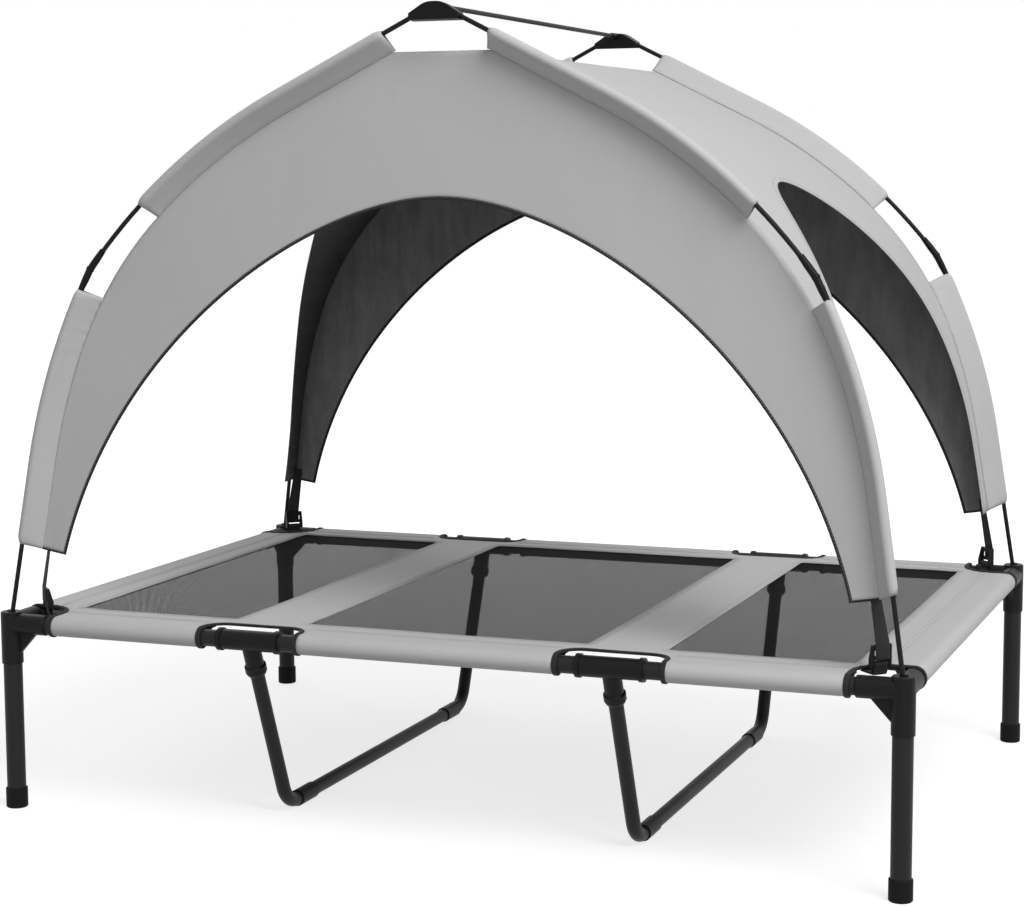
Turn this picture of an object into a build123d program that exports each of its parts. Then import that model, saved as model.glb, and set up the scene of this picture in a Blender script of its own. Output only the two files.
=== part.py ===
from build123d import *
import math
import os

# Raised dog cot: a steel tube frame with a mesh bed cover and a lift-off arched canopy.
# Millimetres. +Z is up, +X runs along the long side and the front faces -Y.
# The origin is on the floor under the middle of the cot.
# Corner pieces are drawn at the front right corner and mirrored to the other three.

# Frame layout
leg_spacing_x = 1190.0
leg_spacing_y = 808.0
rail_height = 249.0
tee_offset = 242.0

# Steel tubes
leg_diameter = 25.0
rail_diameter = 22.0
support_diameter = 18.5
tube_wall = 1.2
socket_clearance = 0.15
butt_gap = 0.2

# Corner bracket
bracket_wall = 1.7
arm_wall = 2.5
bracket_drop = 53.0
bracket_rise = 16.0
arm_reach = 55.0
arm_stop = 17.0
leg_stop_drop = 17.0
gusset_reach = 24.0
gusset_drop = 26.0
gusset_thickness = 6.0
gusset_overlap = 1.0
rim_chamfer = 1.2

# Foot cap
cap_wall = 1.8
cap_height = 27.0
cap_base = 3.0

# Tee connector
tee_length = 86.0
tee_wall = 2.0
tee_collar_width = 5.5
tee_collar_rise = 1.7
tee_web = 4.0
stem_wall = 2.4
stem_length = 50.0
stem_stop = 17.0
stem_collar_length = 15.0
stem_collar_rise = 2.2

# Support legs under the tees
support_splay = 98.0
support_bend_radius = 40.0
support_stub = 52.0
crossbar_sleeve_length = 46.0
crossbar_sleeve_wall = 1.6

# Bed cover
cover_thickness = 1.6
cover_clearance = 0.3
sheet_lift = 0.1
window_margin_end = 69.0
window_margin_side = 66.0
cross_strip_width = 102.0
window_corner_radius = 6.0
corner_cut = 63.0
corner_cut_radius = 44.0
tee_cut_width = 133.0
tee_cut_depth = 30.0
tee_cut_radius = 24.0
binding_width = 4.0
binding_rise = 0.6
seam_gap = 0.2
mesh_thickness = 0.9
mesh_overlap = 12.0

# Canopy poles
pole_diameter = 6.0
pole_clearance = 0.15
pole_seat_depth = 10.0
pole_foot_diameter = 10.4
pole_foot_length = 26.0
pole_foot_clearance = 0.3
pole_foot_proud = 2.0
knee_inset = 115.0
knee_height = 717.0
hub_height = 1027.0
canopy_lean_in = 53.0
lower_straight = 210.0
lower_turn = 18.7
upper_straight = 204.0
upper_turn = 26.2

# Pole hub and knee ferrule
hub_width = 66.0
hub_tall = 22.0
hub_shoulder = 8.0
hub_crown_width = 22.0
hub_crown_radius = 28.0
hub_depth = 17.0
hub_floor = 3.8
hub_rod_end = 14.0
ridge_rise = 17.5
ridge_socket_length = 18.0
ridge_socket_radius = 4.9
ridge_socket_tip_radius = 4.3
ridge_rod_inset = 2.0
knee_ferrule_reach = 31.0
knee_ferrule_radius = 4.7
knee_ferrule_tip_radius = 3.9
knee_ball_radius = 5.3
knee_gap = 3.0

# Canopy fabric
fabric_thickness = 1.6
fabric_bottom = 345.0
seam_drop = 20.0
seam_depth = 20.0
crown_half_width = 66.0
knee_round = 480.0
panel_foot_width = 34.5
opening_top = 807.0
opening_crown_reach = 173.0
opening_foot_reach = 300.0
opening_foot_tilt = 14.3
opening_binding_width = 5.0
opening_binding_thickness = 2.8
side_opening_top = 827.0
side_opening_crown_reach = 150.0
side_strip_width = 40.0
side_opening_shoulder_out = 7.0
side_opening_shoulder_rise = 295.0
sleeve_wall = 1.5
sleeve_slack = 2.2
sleeve_tip_radius = 1.2
sleeve_seam_gap = 0.4
lower_sleeve_knee_space = 30.0
upper_sleeve_knee_space = 111.0
sleeve_crown_space = 4.0

# Straps and their buckles
tape_width = 19.5
tape_thickness = 1.2
tab_thickness = 2.8
tab_distance = 49.5
tab_mesh_gap = 2.0
buckle_bar_height = 270.0
buckle_bar_diameter = 4.0
buckle_bar_clearance = 0.3
buckle_loop_thickness = 1.4
buckle_side_clearance = 0.5
buckle_side_thickness = 3.0
buckle_height = 26.0
buckle_bar_rise = 3.0
buckle_top_depth = 3.4
buckle_foot_depth = 8.6
buckle_face_reach = 4.3
buckle_window = 3.2
buckle_mid_bar_height = 4.5
buckle_mid_bar_depth = 4.0
buckle_top_bar_height = 6.5
tape_gap = 0.3

# Derived places
leg_x = leg_spacing_x / 2
leg_y = leg_spacing_y / 2
rail_radius = rail_diameter / 2
pole_radius = pole_diameter / 2
bracket_top = rail_height + bracket_rise
bracket_bottom = rail_height - bracket_drop
leg_top = rail_height - leg_stop_drop
socket_radius = leg_diameter / 2 + bracket_wall
arm_radius = rail_radius + arm_wall
support_axis_height = support_diameter / 2 + socket_clearance + crossbar_sleeve_wall
support_foot_y = leg_y - support_splay
sheet_bottom = rail_height + rail_radius + cover_clearance + sheet_lift
sheet_top = sheet_bottom + cover_thickness
foot_height = bracket_top - pole_seat_depth
arch_lean = math.atan2(canopy_lean_in, hub_height - foot_height)
cut_through = leg_spacing_x
far = leg_spacing_x + leg_spacing_y

corner_mirrors = {
    "front_right": (),
    "front_left": (Plane.YZ,),
    "back_right": (Plane.XZ,),
    "back_left": (Plane.YZ, Plane.XZ),
}
front_and_back = {"front": (), "back": (Plane.XZ,)}
parts = {}


# Shared builders

def mirrored(shape, mirrors):
    """Copy of a front right piece at another corner."""
    for plane in mirrors:
        shape = mirror(shape, about=plane)
    return shape


def at_each_corner(name, shape):
    """One node for each corner of the cot."""
    for corner, mirrors in corner_mirrors.items():
        parts[f"{name}_{corner}"] = mirrored(shape, mirrors)


def corner_group(shapes):
    """Like pieces from all four corners, kept as separate solids of one node."""
    return Compound(children=[mirrored(shape, mirrors)
                              for mirrors in corner_mirrors.values() for shape in shapes])


def bar(start, end, diameter):
    """Solid round bar between two points."""
    run = Vector(*end) - Vector(*start)
    base = Plane(origin=start, z_dir=run)
    return extrude(base * Circle(diameter / 2), run.length)


def tube(start, end, diameter, wall):
    """Straight round tube between two points."""
    return bar(start, end, diameter) - bar(start, end, diameter - 2 * wall)


def turned(profile, base):
    """Round piece from (radius, height) points, standing on a base plane."""
    outline = make_face(Polyline(*profile, close=True))
    return base * revolve(Plane.XZ * outline, Axis.Z)


def round_sweep(path, radius):
    """Round bar along a path."""
    section = Plane(origin=path @ 0, z_dir=path % 0)
    return sweep(section * Circle(radius), path=path)


def block(low, high):
    """Box between two corners."""
    size = Vector(*high) - Vector(*low)
    middle = (Vector(*high) + Vector(*low)) / 2
    return Pos(middle) * Box(size.X, size.Y, size.Z)


# Corner legs and brackets

def make_bracket():
    axis_base = Plane(origin=(leg_x, -leg_y, bracket_bottom))
    height = bracket_drop + bracket_rise
    body = turned([(0, 0), (socket_radius, 0), (socket_radius, height - rim_chamfer),
                   (socket_radius - rim_chamfer, height), (0, height)], axis_base)
    arm_profile = [(0, 0), (arm_radius, 0), (arm_radius, arm_reach - rim_chamfer),
                   (arm_radius - rim_chamfer, arm_reach), (0, arm_reach)]
    gusset_inner = socket_radius - gusset_overlap
    gusset_top = -(rail_radius + arm_radius + socket_clearance) / 2
    gusset_points = [(gusset_inner, gusset_top), (socket_radius + gusset_reach, gusset_top),
                     (gusset_inner, -arm_radius - gusset_drop)]
    bores = [bar((leg_x, -leg_y, bracket_bottom), (leg_x, -leg_y, leg_top),
                 leg_diameter + 2 * socket_clearance)]
    for direction in (Vector(-1, 0, 0), Vector(0, 1, 0)):
        centre = Vector(leg_x, -leg_y, rail_height)
        body += turned(arm_profile, Plane(origin=centre, z_dir=direction))
        side = Plane(origin=centre, x_dir=direction, z_dir=direction.cross(Vector(0, 0, 1)))
        body += extrude(side * make_face(Polyline(*gusset_points, close=True)),
                        gusset_thickness / 2, both=True)
        bores.append(bar(centre + direction * arm_stop, centre + direction * (arm_reach + arm_radius),
                         rail_diameter + 2 * socket_clearance))
    foot_hole = pole_foot_diameter + 2 * pole_foot_clearance
    hole_floor = bracket_top + pole_foot_proud - pole_foot_length - butt_gap
    bores.append(bar((leg_x, -leg_y, hole_floor), (leg_x, -leg_y, bracket_top + bracket_rise), foot_hole))
    for bore in bores:
        body -= bore
    return body


def make_foot_cap():
    outer = leg_diameter / 2 + socket_clearance + cap_wall
    inner = leg_diameter / 2 + socket_clearance
    profile = [(0, 0), (outer - rim_chamfer, 0), (outer, rim_chamfer), (outer, cap_height - rim_chamfer),
               (outer - rim_chamfer, cap_height), (inner, cap_height), (inner, cap_base), (0, cap_base)]
    return turned(profile, Plane(origin=(leg_x, -leg_y, 0)))


at_each_corner("corner_bracket", make_bracket())
corner_leg = tube((leg_x, -leg_y, cap_base), (leg_x, -leg_y, leg_top), leg_diameter, tube_wall)
at_each_corner("corner_leg", corner_leg)
parts["foot_caps"] = corner_group([make_foot_cap()])


# Rails

rail_outer_end = leg_x - arm_stop
rail_tee_end = tee_offset + tee_web / 2
rail_spans = {"left": (-rail_outer_end, -rail_tee_end),
              "middle": (rail_tee_end - tee_web, tee_web - rail_tee_end),
              "right": (rail_tee_end, rail_outer_end)}
for side, mirrors in front_and_back.items():
    for place, (start, end) in rail_spans.items():
        rail = tube((start, -leg_y, rail_height), (end, -leg_y, rail_height), rail_diameter, tube_wall)
        parts[f"{side}_rail_{place}"] = mirrored(rail, mirrors)
end_rail = tube((leg_x, arm_stop - leg_y, rail_height), (leg_x, leg_y - arm_stop, rail_height),
                rail_diameter, tube_wall)
parts["end_rail_right"] = end_rail
parts["end_rail_left"] = mirror(end_rail, about=Plane.YZ)


# Tee connectors and the support legs under them

tee_centre = Vector(tee_offset, -leg_y, rail_height)
support_corner = Vector(tee_offset, -support_foot_y, support_axis_height)
support_run = (support_corner - tee_centre).normalized()


def make_tee():
    outer = rail_radius + socket_clearance + tee_wall
    collar = outer + tee_collar_rise
    half = tee_length / 2
    inner_half = half - tee_collar_width
    profile = [(0, -half), (collar, -half), (collar, -inner_half), (outer, -inner_half),
               (outer, inner_half), (collar, inner_half), (collar, half), (0, half)]
    body = turned(profile, Plane(origin=tee_centre, z_dir=(1, 0, 0)))
    stem = support_diameter / 2 + socket_clearance + stem_wall
    stem_collar = stem + stem_collar_rise
    collar_start = stem_length - stem_collar_length
    stem_profile = [(0, 0), (stem, 0), (stem, collar_start), (stem_collar, collar_start + stem_collar_rise),
                    (stem_collar, stem_length - 2 * stem_collar_rise), (stem, stem_length), (0, stem_length)]
    body += turned(stem_profile, Plane(origin=tee_centre, z_dir=support_run))
    rail_bore = rail_diameter + 2 * socket_clearance
    for direction in (Vector(1, 0, 0), Vector(-1, 0, 0)):
        body -= bar(tee_centre + direction * (tee_web / 2), tee_centre + direction * tee_length, rail_bore)
    body -= bar(tee_centre + support_run * stem_stop, tee_centre + support_run * 2 * stem_length,
                support_diameter + 2 * socket_clearance)
    return body


def make_support_leg():
    stub_end = support_corner + Vector(0, support_stub - butt_gap, 0)
    path = FilletPolyline(tee_centre + support_run * (stem_stop + butt_gap), support_corner, stub_end,
                          radius=support_bend_radius)
    return round_sweep(path, support_diameter / 2) - round_sweep(path, support_diameter / 2 - tube_wall)


def make_crossbar_sleeve():
    middle = support_corner + Vector(0, support_stub, 0)
    half = Vector(0, crossbar_sleeve_length / 2, 0)
    inner = support_diameter + 2 * socket_clearance
    return tube(middle - half, middle + half, inner + 2 * crossbar_sleeve_wall, crossbar_sleeve_wall)


at_each_corner("tee_connector", make_tee())
at_each_corner("support_leg", make_support_leg())
crossbar_end = support_corner + Vector(0, support_stub + butt_gap, 0)
crossbar = tube(crossbar_end, (crossbar_end.X, -crossbar_end.Y, crossbar_end.Z), support_diameter, tube_wall)
parts["support_crossbar_right"] = crossbar
parts["support_crossbar_left"] = mirror(crossbar, about=Plane.YZ)
parts["crossbar_sleeves"] = corner_group([make_crossbar_sleeve()])


# Bed cover, its bindings and the mesh windows

def cover_blank(extra):
    """Stretched sheet with a tube of fabric round every rail, before anything is cut out of it."""
    outer = rail_diameter + 2 * (cover_clearance + cover_thickness + extra)
    inner = rail_diameter + 2 * cover_clearance
    blank = block((-leg_x, -leg_y, sheet_bottom), (leg_x, leg_y, sheet_top + extra))
    bores = []
    for side in (-1, 1):
        long_run = [(-leg_x, side * leg_y, rail_height), (leg_x, side * leg_y, rail_height)]
        short_run = [(side * leg_x, -leg_y, rail_height), (side * leg_x, leg_y, rail_height)]
        for start, end in (long_run, short_run):
            blank += bar(start, end, outer)
            bores.append(bar(start, end, inner))
    for bore in bores:
        blank -= bore
    return blank


def upright_prism(outline):
    """Prism through the whole cover from a closed outline on the floor plane."""
    return extrude(make_face(outline), cut_through, both=True)


def corner_cut_out(inset):
    """Rounded notch that bares a corner bracket, drawn inset from the fabric's edge."""
    reach = corner_cut - inset
    outside = corner_cut + leg_diameter
    edge = FilletPolyline((leg_x - reach, -leg_y - outside), (leg_x - reach, reach - leg_y),
                          (leg_x + outside, reach - leg_y), radius=corner_cut_radius - inset)
    rest = Polyline((leg_x + outside, reach - leg_y), (leg_x + outside, -leg_y - outside),
                    (leg_x - reach, -leg_y - outside))
    return upright_prism(edge + rest)


def tee_cut_out(inset):
    """Oblong notch that bares a tee connector, drawn inset from the fabric's edge."""
    half = tee_cut_width / 2 - inset
    depth = tee_cut_depth - inset - leg_y
    outside = -leg_y - tee_cut_width
    left = tee_offset - half
    right = tee_offset + half
    edge = FilletPolyline((left, outside), (left, depth), (right, depth), (right, outside),
                          radius=tee_cut_radius - inset)
    rest = Line((right, outside), (left, outside))
    return upright_prism(edge + rest)


window_depth = leg_spacing_y - 2 * window_margin_side
window_outer_end = leg_x - window_margin_end
strip_half = cross_strip_width / 2
windows = {"left": (-window_outer_end, -tee_offset - strip_half),
           "centre": (strip_half - tee_offset, tee_offset - strip_half),
           "right": (tee_offset + strip_half, window_outer_end)}
cover = cover_blank(0)
for mirrors in corner_mirrors.values():
    cover -= mirrored(corner_cut_out(0), mirrors)
    cover -= mirrored(tee_cut_out(0), mirrors)
for place, (start, end) in windows.items():
    middle = Pos((start + end) / 2, 0, 0)
    opening = RectangleRounded(end - start, window_depth, window_corner_radius)
    cover -= middle * extrude(opening, cut_through)
    panel = RectangleRounded(end - start + 2 * mesh_overlap, window_depth + 2 * mesh_overlap,
                             window_corner_radius)
    parts[f"mesh_panel_{place}"] = (Pos(0, 0, sheet_bottom - seam_gap - mesh_thickness) * middle
                                    * extrude(panel, mesh_thickness))
parts["bed_cover"] = cover
binding_blank = cover_blank(binding_rise)
parts["corner_bindings"] = corner_group(
    [binding_blank & (corner_cut_out(seam_gap) - corner_cut_out(binding_width))])
parts["tee_bindings"] = corner_group([binding_blank & (tee_cut_out(seam_gap) - tee_cut_out(binding_width))])


# Canopy poles, in the leaning plane of the front arch

class Pole:
    """Right-hand pole seen square on: a straight run from its outer end, then an arc that turns to the knee.

    Places along it are distances from the outer end. An inset moves a place towards the inside of the arch.
    """

    def __init__(self, end, knee, straight, turn, hand):
        self.end = Vector(*end)
        self.straight = straight
        chord = Vector(*knee) - self.end
        half_turn = math.radians(turn) / 2
        arc_chord = (math.sqrt(chord.length ** 2 - (straight * math.sin(half_turn)) ** 2)
                     - straight * math.cos(half_turn))
        swing = math.asin(arc_chord * math.sin(half_turn) / chord.length)
        self.run = chord.normalized().rotate(Axis.Z, hand * math.degrees(swing))
        self.inside = Vector(self.run.Y, -self.run.X) * hand
        self.radius = arc_chord / (2 * math.sin(half_turn))
        self.centre = self.end + self.run * straight + self.inside * self.radius
        self.length = straight + self.radius * math.radians(turn)

    def point(self, distance, inset=0):
        if distance <= self.straight:
            return self.end + self.run * distance + self.inside * inset
        turned_by = (distance - self.straight) / self.radius
        away = self.run * math.sin(turned_by) - self.inside * math.cos(turned_by)
        return self.centre + away * (self.radius - inset)

    def at_x(self, x, inset=0):
        """Distance to the place on the straight run at an x."""
        return (x - self.end.X - self.inside.X * inset) / self.run.X

    def at_height(self, height, inset=0):
        """Distance to the place on the straight run at a height."""
        return (height - self.end.Y - self.inside.Y * inset) / self.run.Y

    def facing(self, point):
        """Distance to the place on the arc that faces a point inside it."""
        away = point - self.centre
        return self.straight + self.radius * math.atan2(away.dot(self.run), -away.dot(self.inside))

    def edges(self, start, stop, inset=0):
        """Lines and arcs between two distances, in the order given."""
        marks = [start, stop]
        if min(marks) < self.straight < max(marks):
            marks.insert(1, self.straight)
        made = []
        for first, last in zip(marks, marks[1:]):
            ends = (self.point(first, inset), self.point(last, inset))
            if max(first, last) > self.straight:
                made.append(ThreePointArc(ends[0], self.point((first + last) / 2, inset), ends[1]))
            else:
                made.append(Line(*ends))
        return made


class Arch:
    """Right half of one pole arch, seen square on: heights run from the pole's foot."""

    def __init__(self, stretch):
        knee = (leg_x - knee_inset, (knee_height - foot_height) * stretch)
        hub = (hub_width / 2, (hub_height - foot_height) * stretch)
        self.hub_height = hub[1]
        self.lower = Pole((leg_x, 0), knee, lower_straight, lower_turn, -1)
        self.upper = Pole(hub, knee, upper_straight, upper_turn, 1)

    def arcs_meet(self, inset):
        """Where the two arcs meet when both are drawn inset."""
        lower_radius = self.lower.radius - inset
        upper_radius = self.upper.radius - inset
        apart = self.upper.centre - self.lower.centre
        along = (apart.length ** 2 + lower_radius ** 2 - upper_radius ** 2) / (2 * apart.length)
        aside = math.sqrt(lower_radius ** 2 - along ** 2)
        way = apart.normalized()
        return self.lower.centre + way * along + Vector(-way.Y, way.X) * aside

    def outline(self, inset, bottom):
        """Edges of the fabric line from the flat crown down to the hem, and the line's two ends."""
        crown = self.upper.point(self.upper.at_x(crown_half_width, seam_drop), seam_drop)
        crown_height = crown.Y + seam_drop - inset
        crown_end = self.upper.at_height(crown_height, inset)
        bend = self.arcs_meet(knee_round + seam_drop)
        upper_end = self.upper.facing(bend)
        lower_end = self.lower.facing(bend)
        hem_end = self.lower.at_height(bottom, inset)
        bend_ends = (self.upper.point(upper_end, inset), self.lower.point(lower_end, inset))
        bend_way = (bend_ends[0] + bend_ends[1]) / 2 - bend
        bend_middle = bend + bend_way.normalized() * (knee_round + seam_drop - inset)
        edges = [Line((0, crown_height), self.upper.point(crown_end, inset)),
                 *self.upper.edges(crown_end, upper_end, inset),
                 ThreePointArc(bend_ends[0], bend_middle, bend_ends[1]),
                 *self.lower.edges(lower_end, hem_end, inset)]
        return edges, (0, crown_height), self.lower.point(hem_end, inset)


front_plane = Plane(origin=(0, -leg_y, foot_height), x_dir=(1, 0, 0),
                    z_dir=(0, -math.cos(arch_lean), math.sin(arch_lean)))
leaning = Arch(1 / math.cos(arch_lean))
knee_local = leaning.lower.point(leaning.lower.length)
lower_rod_path = Wire(leaning.lower.edges(leaning.lower.length - knee_gap, 0))
upper_rod_path = Wire(leaning.upper.edges(leaning.upper.length - knee_gap, leaning.upper.at_x(hub_rod_end)))
lower_rod = round_sweep(front_plane * lower_rod_path, pole_radius)
upper_rod = round_sweep(front_plane * upper_rod_path, pole_radius)
at_each_corner("pole_lower", lower_rod)
at_each_corner("pole_upper", upper_rod)
lower_bore = round_sweep(front_plane * lower_rod_path, pole_radius + pole_clearance)
upper_bore = round_sweep(front_plane * upper_rod_path, pole_radius + pole_clearance)


def make_pole_foot():
    top = bracket_top + pole_foot_proud
    plug = bar((leg_x, -leg_y, top - pole_foot_length), (leg_x, -leg_y, top), pole_foot_diameter)
    return plug - lower_bore


def make_knee_ferrule():
    centre = front_plane.from_local_coords(knee_local)
    profile = [(0, 0), (knee_ferrule_radius, 0), (knee_ferrule_radius, knee_ferrule_reach / 2),
               (knee_ferrule_tip_radius, knee_ferrule_reach), (0, knee_ferrule_reach)]
    body = Pos(centre) * Sphere(knee_ball_radius)
    for path in (upper_rod_path, lower_rod_path):
        body += turned(profile, Plane(origin=centre, z_dir=(front_plane * path) % 0))
    return body - lower_bore - upper_bore


def hub_face():
    """Hub seen square on: a flat foot and sloping shoulders under a rounded crown."""
    half = hub_width / 2
    crown = hub_crown_width / 2
    bottom = leaning.hub_height - hub_floor
    shoulder = bottom + hub_shoulder
    top = bottom + hub_tall
    face = make_face(Polyline((-half, bottom), (half, bottom), (half, shoulder), (crown, top),
                              (-crown, top), (-half, shoulder), close=True))
    return fillet(face.vertices().sort_by(Axis.Y)[-2:], hub_crown_radius)


ridge_point = front_plane.from_local_coords((0, leaning.hub_height - hub_floor + ridge_rise, 0))


def make_hub():
    body = extrude(front_plane * hub_face(), hub_depth / 2, both=True)
    socket_end = hub_depth / 2 + ridge_socket_length
    socket_profile = [(0, 0), (ridge_socket_radius, 0), (ridge_socket_radius, hub_depth / 2),
                      (ridge_socket_tip_radius, socket_end), (0, socket_end)]
    body += turned(socket_profile, Plane(origin=ridge_point, z_dir=(0, 1, 0)))
    body -= upper_bore
    body -= mirror(upper_bore, about=Plane.YZ)
    bore_start = ridge_point + Vector(0, ridge_rod_inset - pole_clearance, 0)
    bore_end = ridge_point + Vector(0, 2 * socket_end, 0)
    return body - bar(bore_start, bore_end, pole_diameter + 2 * pole_clearance)


parts["pole_feet"] = corner_group([make_pole_foot()])
parts["knee_ferrules"] = corner_group([make_knee_ferrule()])
hub = make_hub()
parts["pole_hub_front"] = hub
parts["pole_hub_back"] = mirror(hub, about=Plane.XZ)
ridge_start = ridge_point + Vector(0, ridge_rod_inset, 0)
parts["ridge_rod"] = bar(ridge_start, (ridge_start.X, -ridge_start.Y, ridge_start.Z), pole_diameter)


# Canopy fabric

panel_plane = front_plane.offset(-seam_depth)
panel_base = panel_plane.origin.Z
half_fabric = fabric_thickness / 2
panel_inset = seam_drop + half_fabric + seam_gap
lean_stretch = 1 / math.cos(arch_lean)
upright = Arch(1)
hem = (fabric_bottom - panel_base) * lean_stretch
hem_end = leaning.outline(panel_inset, hem)[2]
opening_foot = hem_end.X - panel_foot_width


def doorway_edge(spread):
    """Right half of the doorway's edge, from its top to the hem, spread outward from the bare opening."""
    top = (opening_top - panel_base) * lean_stretch + spread
    tilt = math.radians(opening_foot_tilt)
    foot = (opening_foot + spread, hem)
    shoulder = (foot[0] - opening_foot_reach * math.sin(tilt), hem + opening_foot_reach * math.cos(tilt))
    return Bezier((0, top), (opening_crown_reach, top), shoulder, foot)


def both_halves(half_face):
    """Sheet outline completed by its mirror image across the middle of the cot."""
    return half_face + mirror(half_face, about=Plane.YZ)


def make_panel():
    edges, crown, foot = leaning.outline(panel_inset, hem)
    door = doorway_edge(opening_binding_width + seam_gap)
    half = make_face([*edges, Line(foot, door @ 1), door, Line(door @ 0, crown)])
    return extrude(panel_plane * both_halves(half), half_fabric, both=True)


def make_doorway_binding():
    inner = doorway_edge(0)
    outer = doorway_edge(opening_binding_width)
    half = make_face([inner, Line(inner @ 1, outer @ 1), outer, Line(outer @ 0, inner @ 0)])
    return extrude(panel_plane * both_halves(half), opening_binding_thickness / 2, both=True)


def seam_y(height):
    """Place of the front panel's outer face at a height."""
    face_depth = seam_depth - half_fabric
    return -leg_y + (height - foot_height) * math.tan(arch_lean) + face_depth / math.cos(arch_lean)


def make_roof():
    bottom = fabric_bottom - panel_base
    opening_half_width = -seam_y(fabric_bottom) - side_strip_width
    outer, outer_crown, outer_hem = upright.outline(seam_drop - half_fabric, bottom)
    inner, inner_crown, inner_hem = upright.outline(seam_drop + half_fabric, bottom)
    half = make_face([*outer, Line(outer_hem, inner_hem), *inner, Line(inner_crown, outer_crown)])
    base = Plane(origin=(0, 0, panel_base), x_dir=(1, 0, 0), z_dir=(0, -1, 0))
    shell = extrude(base * both_halves(half), leg_spacing_y, both=True)
    low = seam_y(0)
    high = seam_y(far)
    reach = Plane.YZ * make_face(Polyline((low, 0), (-low, 0), (-high, far), (high, far), close=True))
    shell = shell & extrude(reach, far, both=True)
    shoulder = (opening_half_width + side_opening_shoulder_out,
                fabric_bottom + side_opening_shoulder_rise)
    arch = Bezier((0, side_opening_top), (side_opening_crown_reach, side_opening_top), shoulder,
                  (opening_half_width, fabric_bottom))
    below = (0, fabric_bottom - seam_depth)
    sides = Polyline((opening_half_width, fabric_bottom), (opening_half_width, below[1]), below,
                     (0, side_opening_top))
    half_arch = make_face([arch, *sides.edges()])
    opening = half_arch + mirror(half_arch, about=Plane.YZ)
    return shell - extrude(Plane.YZ * opening, far, both=True)


def sleeve_section(radius, tip_radius, tip):
    """Drop-shaped section: round over the pole, tapering to the seam."""
    return make_hull(Circle(radius).edges() + (Pos(-tip, tip) * Circle(tip_radius)).edges())


def make_sleeve(pole, start, end):
    """Soft tube that holds one pole between two distances and is sewn to the seam at its inner edge."""
    outer_radius = pole_radius + sleeve_slack + sleeve_wall
    corner = seam_drop - half_fabric
    tip = corner - (sleeve_tip_radius + sleeve_seam_gap) / math.sqrt(2)
    section = (sleeve_section(outer_radius, sleeve_tip_radius, tip)
               - sleeve_section(pole_radius + sleeve_slack, sleeve_tip_radius / 2, tip - sleeve_wall))
    path = front_plane * Wire(pole.edges(start, end))
    outward = (path @ 0) - front_plane.from_local_coords(pole.point(start, far))
    base = Plane(origin=path @ 0, x_dir=outward, z_dir=path % 0)
    return sweep(base * section, path=path)


panel = make_panel()
parts["canopy_front_panel"] = panel
parts["canopy_back_panel"] = mirror(panel, about=Plane.XZ)
binding = make_doorway_binding()
parts["doorway_bindings"] = Compound(children=[binding, mirror(binding, about=Plane.XZ)])
parts["canopy_roof"] = make_roof()
lower_sleeve = make_sleeve(leaning.lower, leaning.lower.at_height(hem),
                           leaning.lower.length - lower_sleeve_knee_space)
upper_sleeve = make_sleeve(leaning.upper, leaning.upper.length - upper_sleeve_knee_space,
                           leaning.upper.at_x(crown_half_width + sleeve_crown_space))
for side, mirrors in front_and_back.items():
    pair = [mirrored(sleeve, mirrors) for sleeve in (lower_sleeve, upper_sleeve)]
    other_pair = [mirror(sleeve, about=Plane.YZ) for sleeve in pair]
    parts[f"pole_sleeves_{side}"] = Compound(children=pair + other_pair)


# Corner straps, their buckles and the tabs that hold the buckles
# Profiles are drawn as (distance in from the leg along the corner's diagonal, height).

inward = Vector(-1, 1, 0).normalized()
strap_plane = Plane(origin=(leg_x, -leg_y, 0), x_dir=inward, z_dir=Vector(1, 1, 0))
bar_radius = buckle_bar_diameter / 2
buckle_face = tab_distance - buckle_face_reach
tape_inner = buckle_face - tape_gap
tape_outer = tape_inner - tape_thickness
buckle_bottom = buckle_bar_height - buckle_bar_rise
window_top = buckle_bar_height + bar_radius + buckle_window
tab_tail_end = (window_margin_end + window_margin_side - 2 * mesh_overlap) / math.sqrt(2) - tab_mesh_gap


def flat(low, high):
    """Rectangle between two corners of a profile."""
    middle = Pos((low[0] + high[0]) / 2, (low[1] + high[1]) / 2)
    return middle * Rectangle(high[0] - low[0], high[1] - low[1])


def across(profile, width):
    """Profile drawn out to a width across the corner's diagonal."""
    return extrude(strap_plane * profile, width / 2, both=True)


def make_tab():
    eye = bar_radius + buckle_bar_clearance
    half = tab_thickness / 2
    top = sheet_bottom - seam_gap
    bottom = top - tab_thickness
    centre = Pos(tab_distance, buckle_bar_height)
    profile = centre * Circle(eye + buckle_loop_thickness)
    profile += flat((tab_distance - half, bottom), (tab_distance + half, buckle_bar_height))
    profile += flat((tab_distance - half, bottom), (tab_tail_end, top))
    return across(profile - centre * Circle(eye), tape_width)


def make_strap():
    return across(flat((tape_outer, window_top), (tape_inner, fabric_bottom - seam_gap)), tape_width)


def make_buckle():
    outer = buckle_face
    top = buckle_bottom + buckle_height
    inside = tape_width + 2 * buckle_side_clearance
    side = make_face(Polyline((outer, buckle_bottom), (outer + buckle_foot_depth, buckle_bottom),
                              (outer + buckle_foot_depth, window_top), (outer + buckle_top_depth, top),
                              (outer, top), close=True))
    overall = inside + 2 * buckle_side_thickness
    body = across(side, overall) - across(side, inside)
    bars = Pos(tab_distance, buckle_bar_height) * Circle(bar_radius)
    bars += flat((outer, window_top), (outer + buckle_mid_bar_depth, window_top + buckle_mid_bar_height))
    bars += flat((outer, top - buckle_top_bar_height), (outer + buckle_top_depth, top))
    return body + across(bars, overall - buckle_side_thickness)


parts["anchor_tabs"] = corner_group([make_tab()])
parts["canopy_straps"] = corner_group([make_strap()])
at_each_corner("strap_buckle", make_buckle())

os.makedirs("parts", exist_ok=True)
for name, shape in parts.items():
    export_step(shape, f"parts/{name}.step")
print(len(parts), "nodes written")
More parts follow.
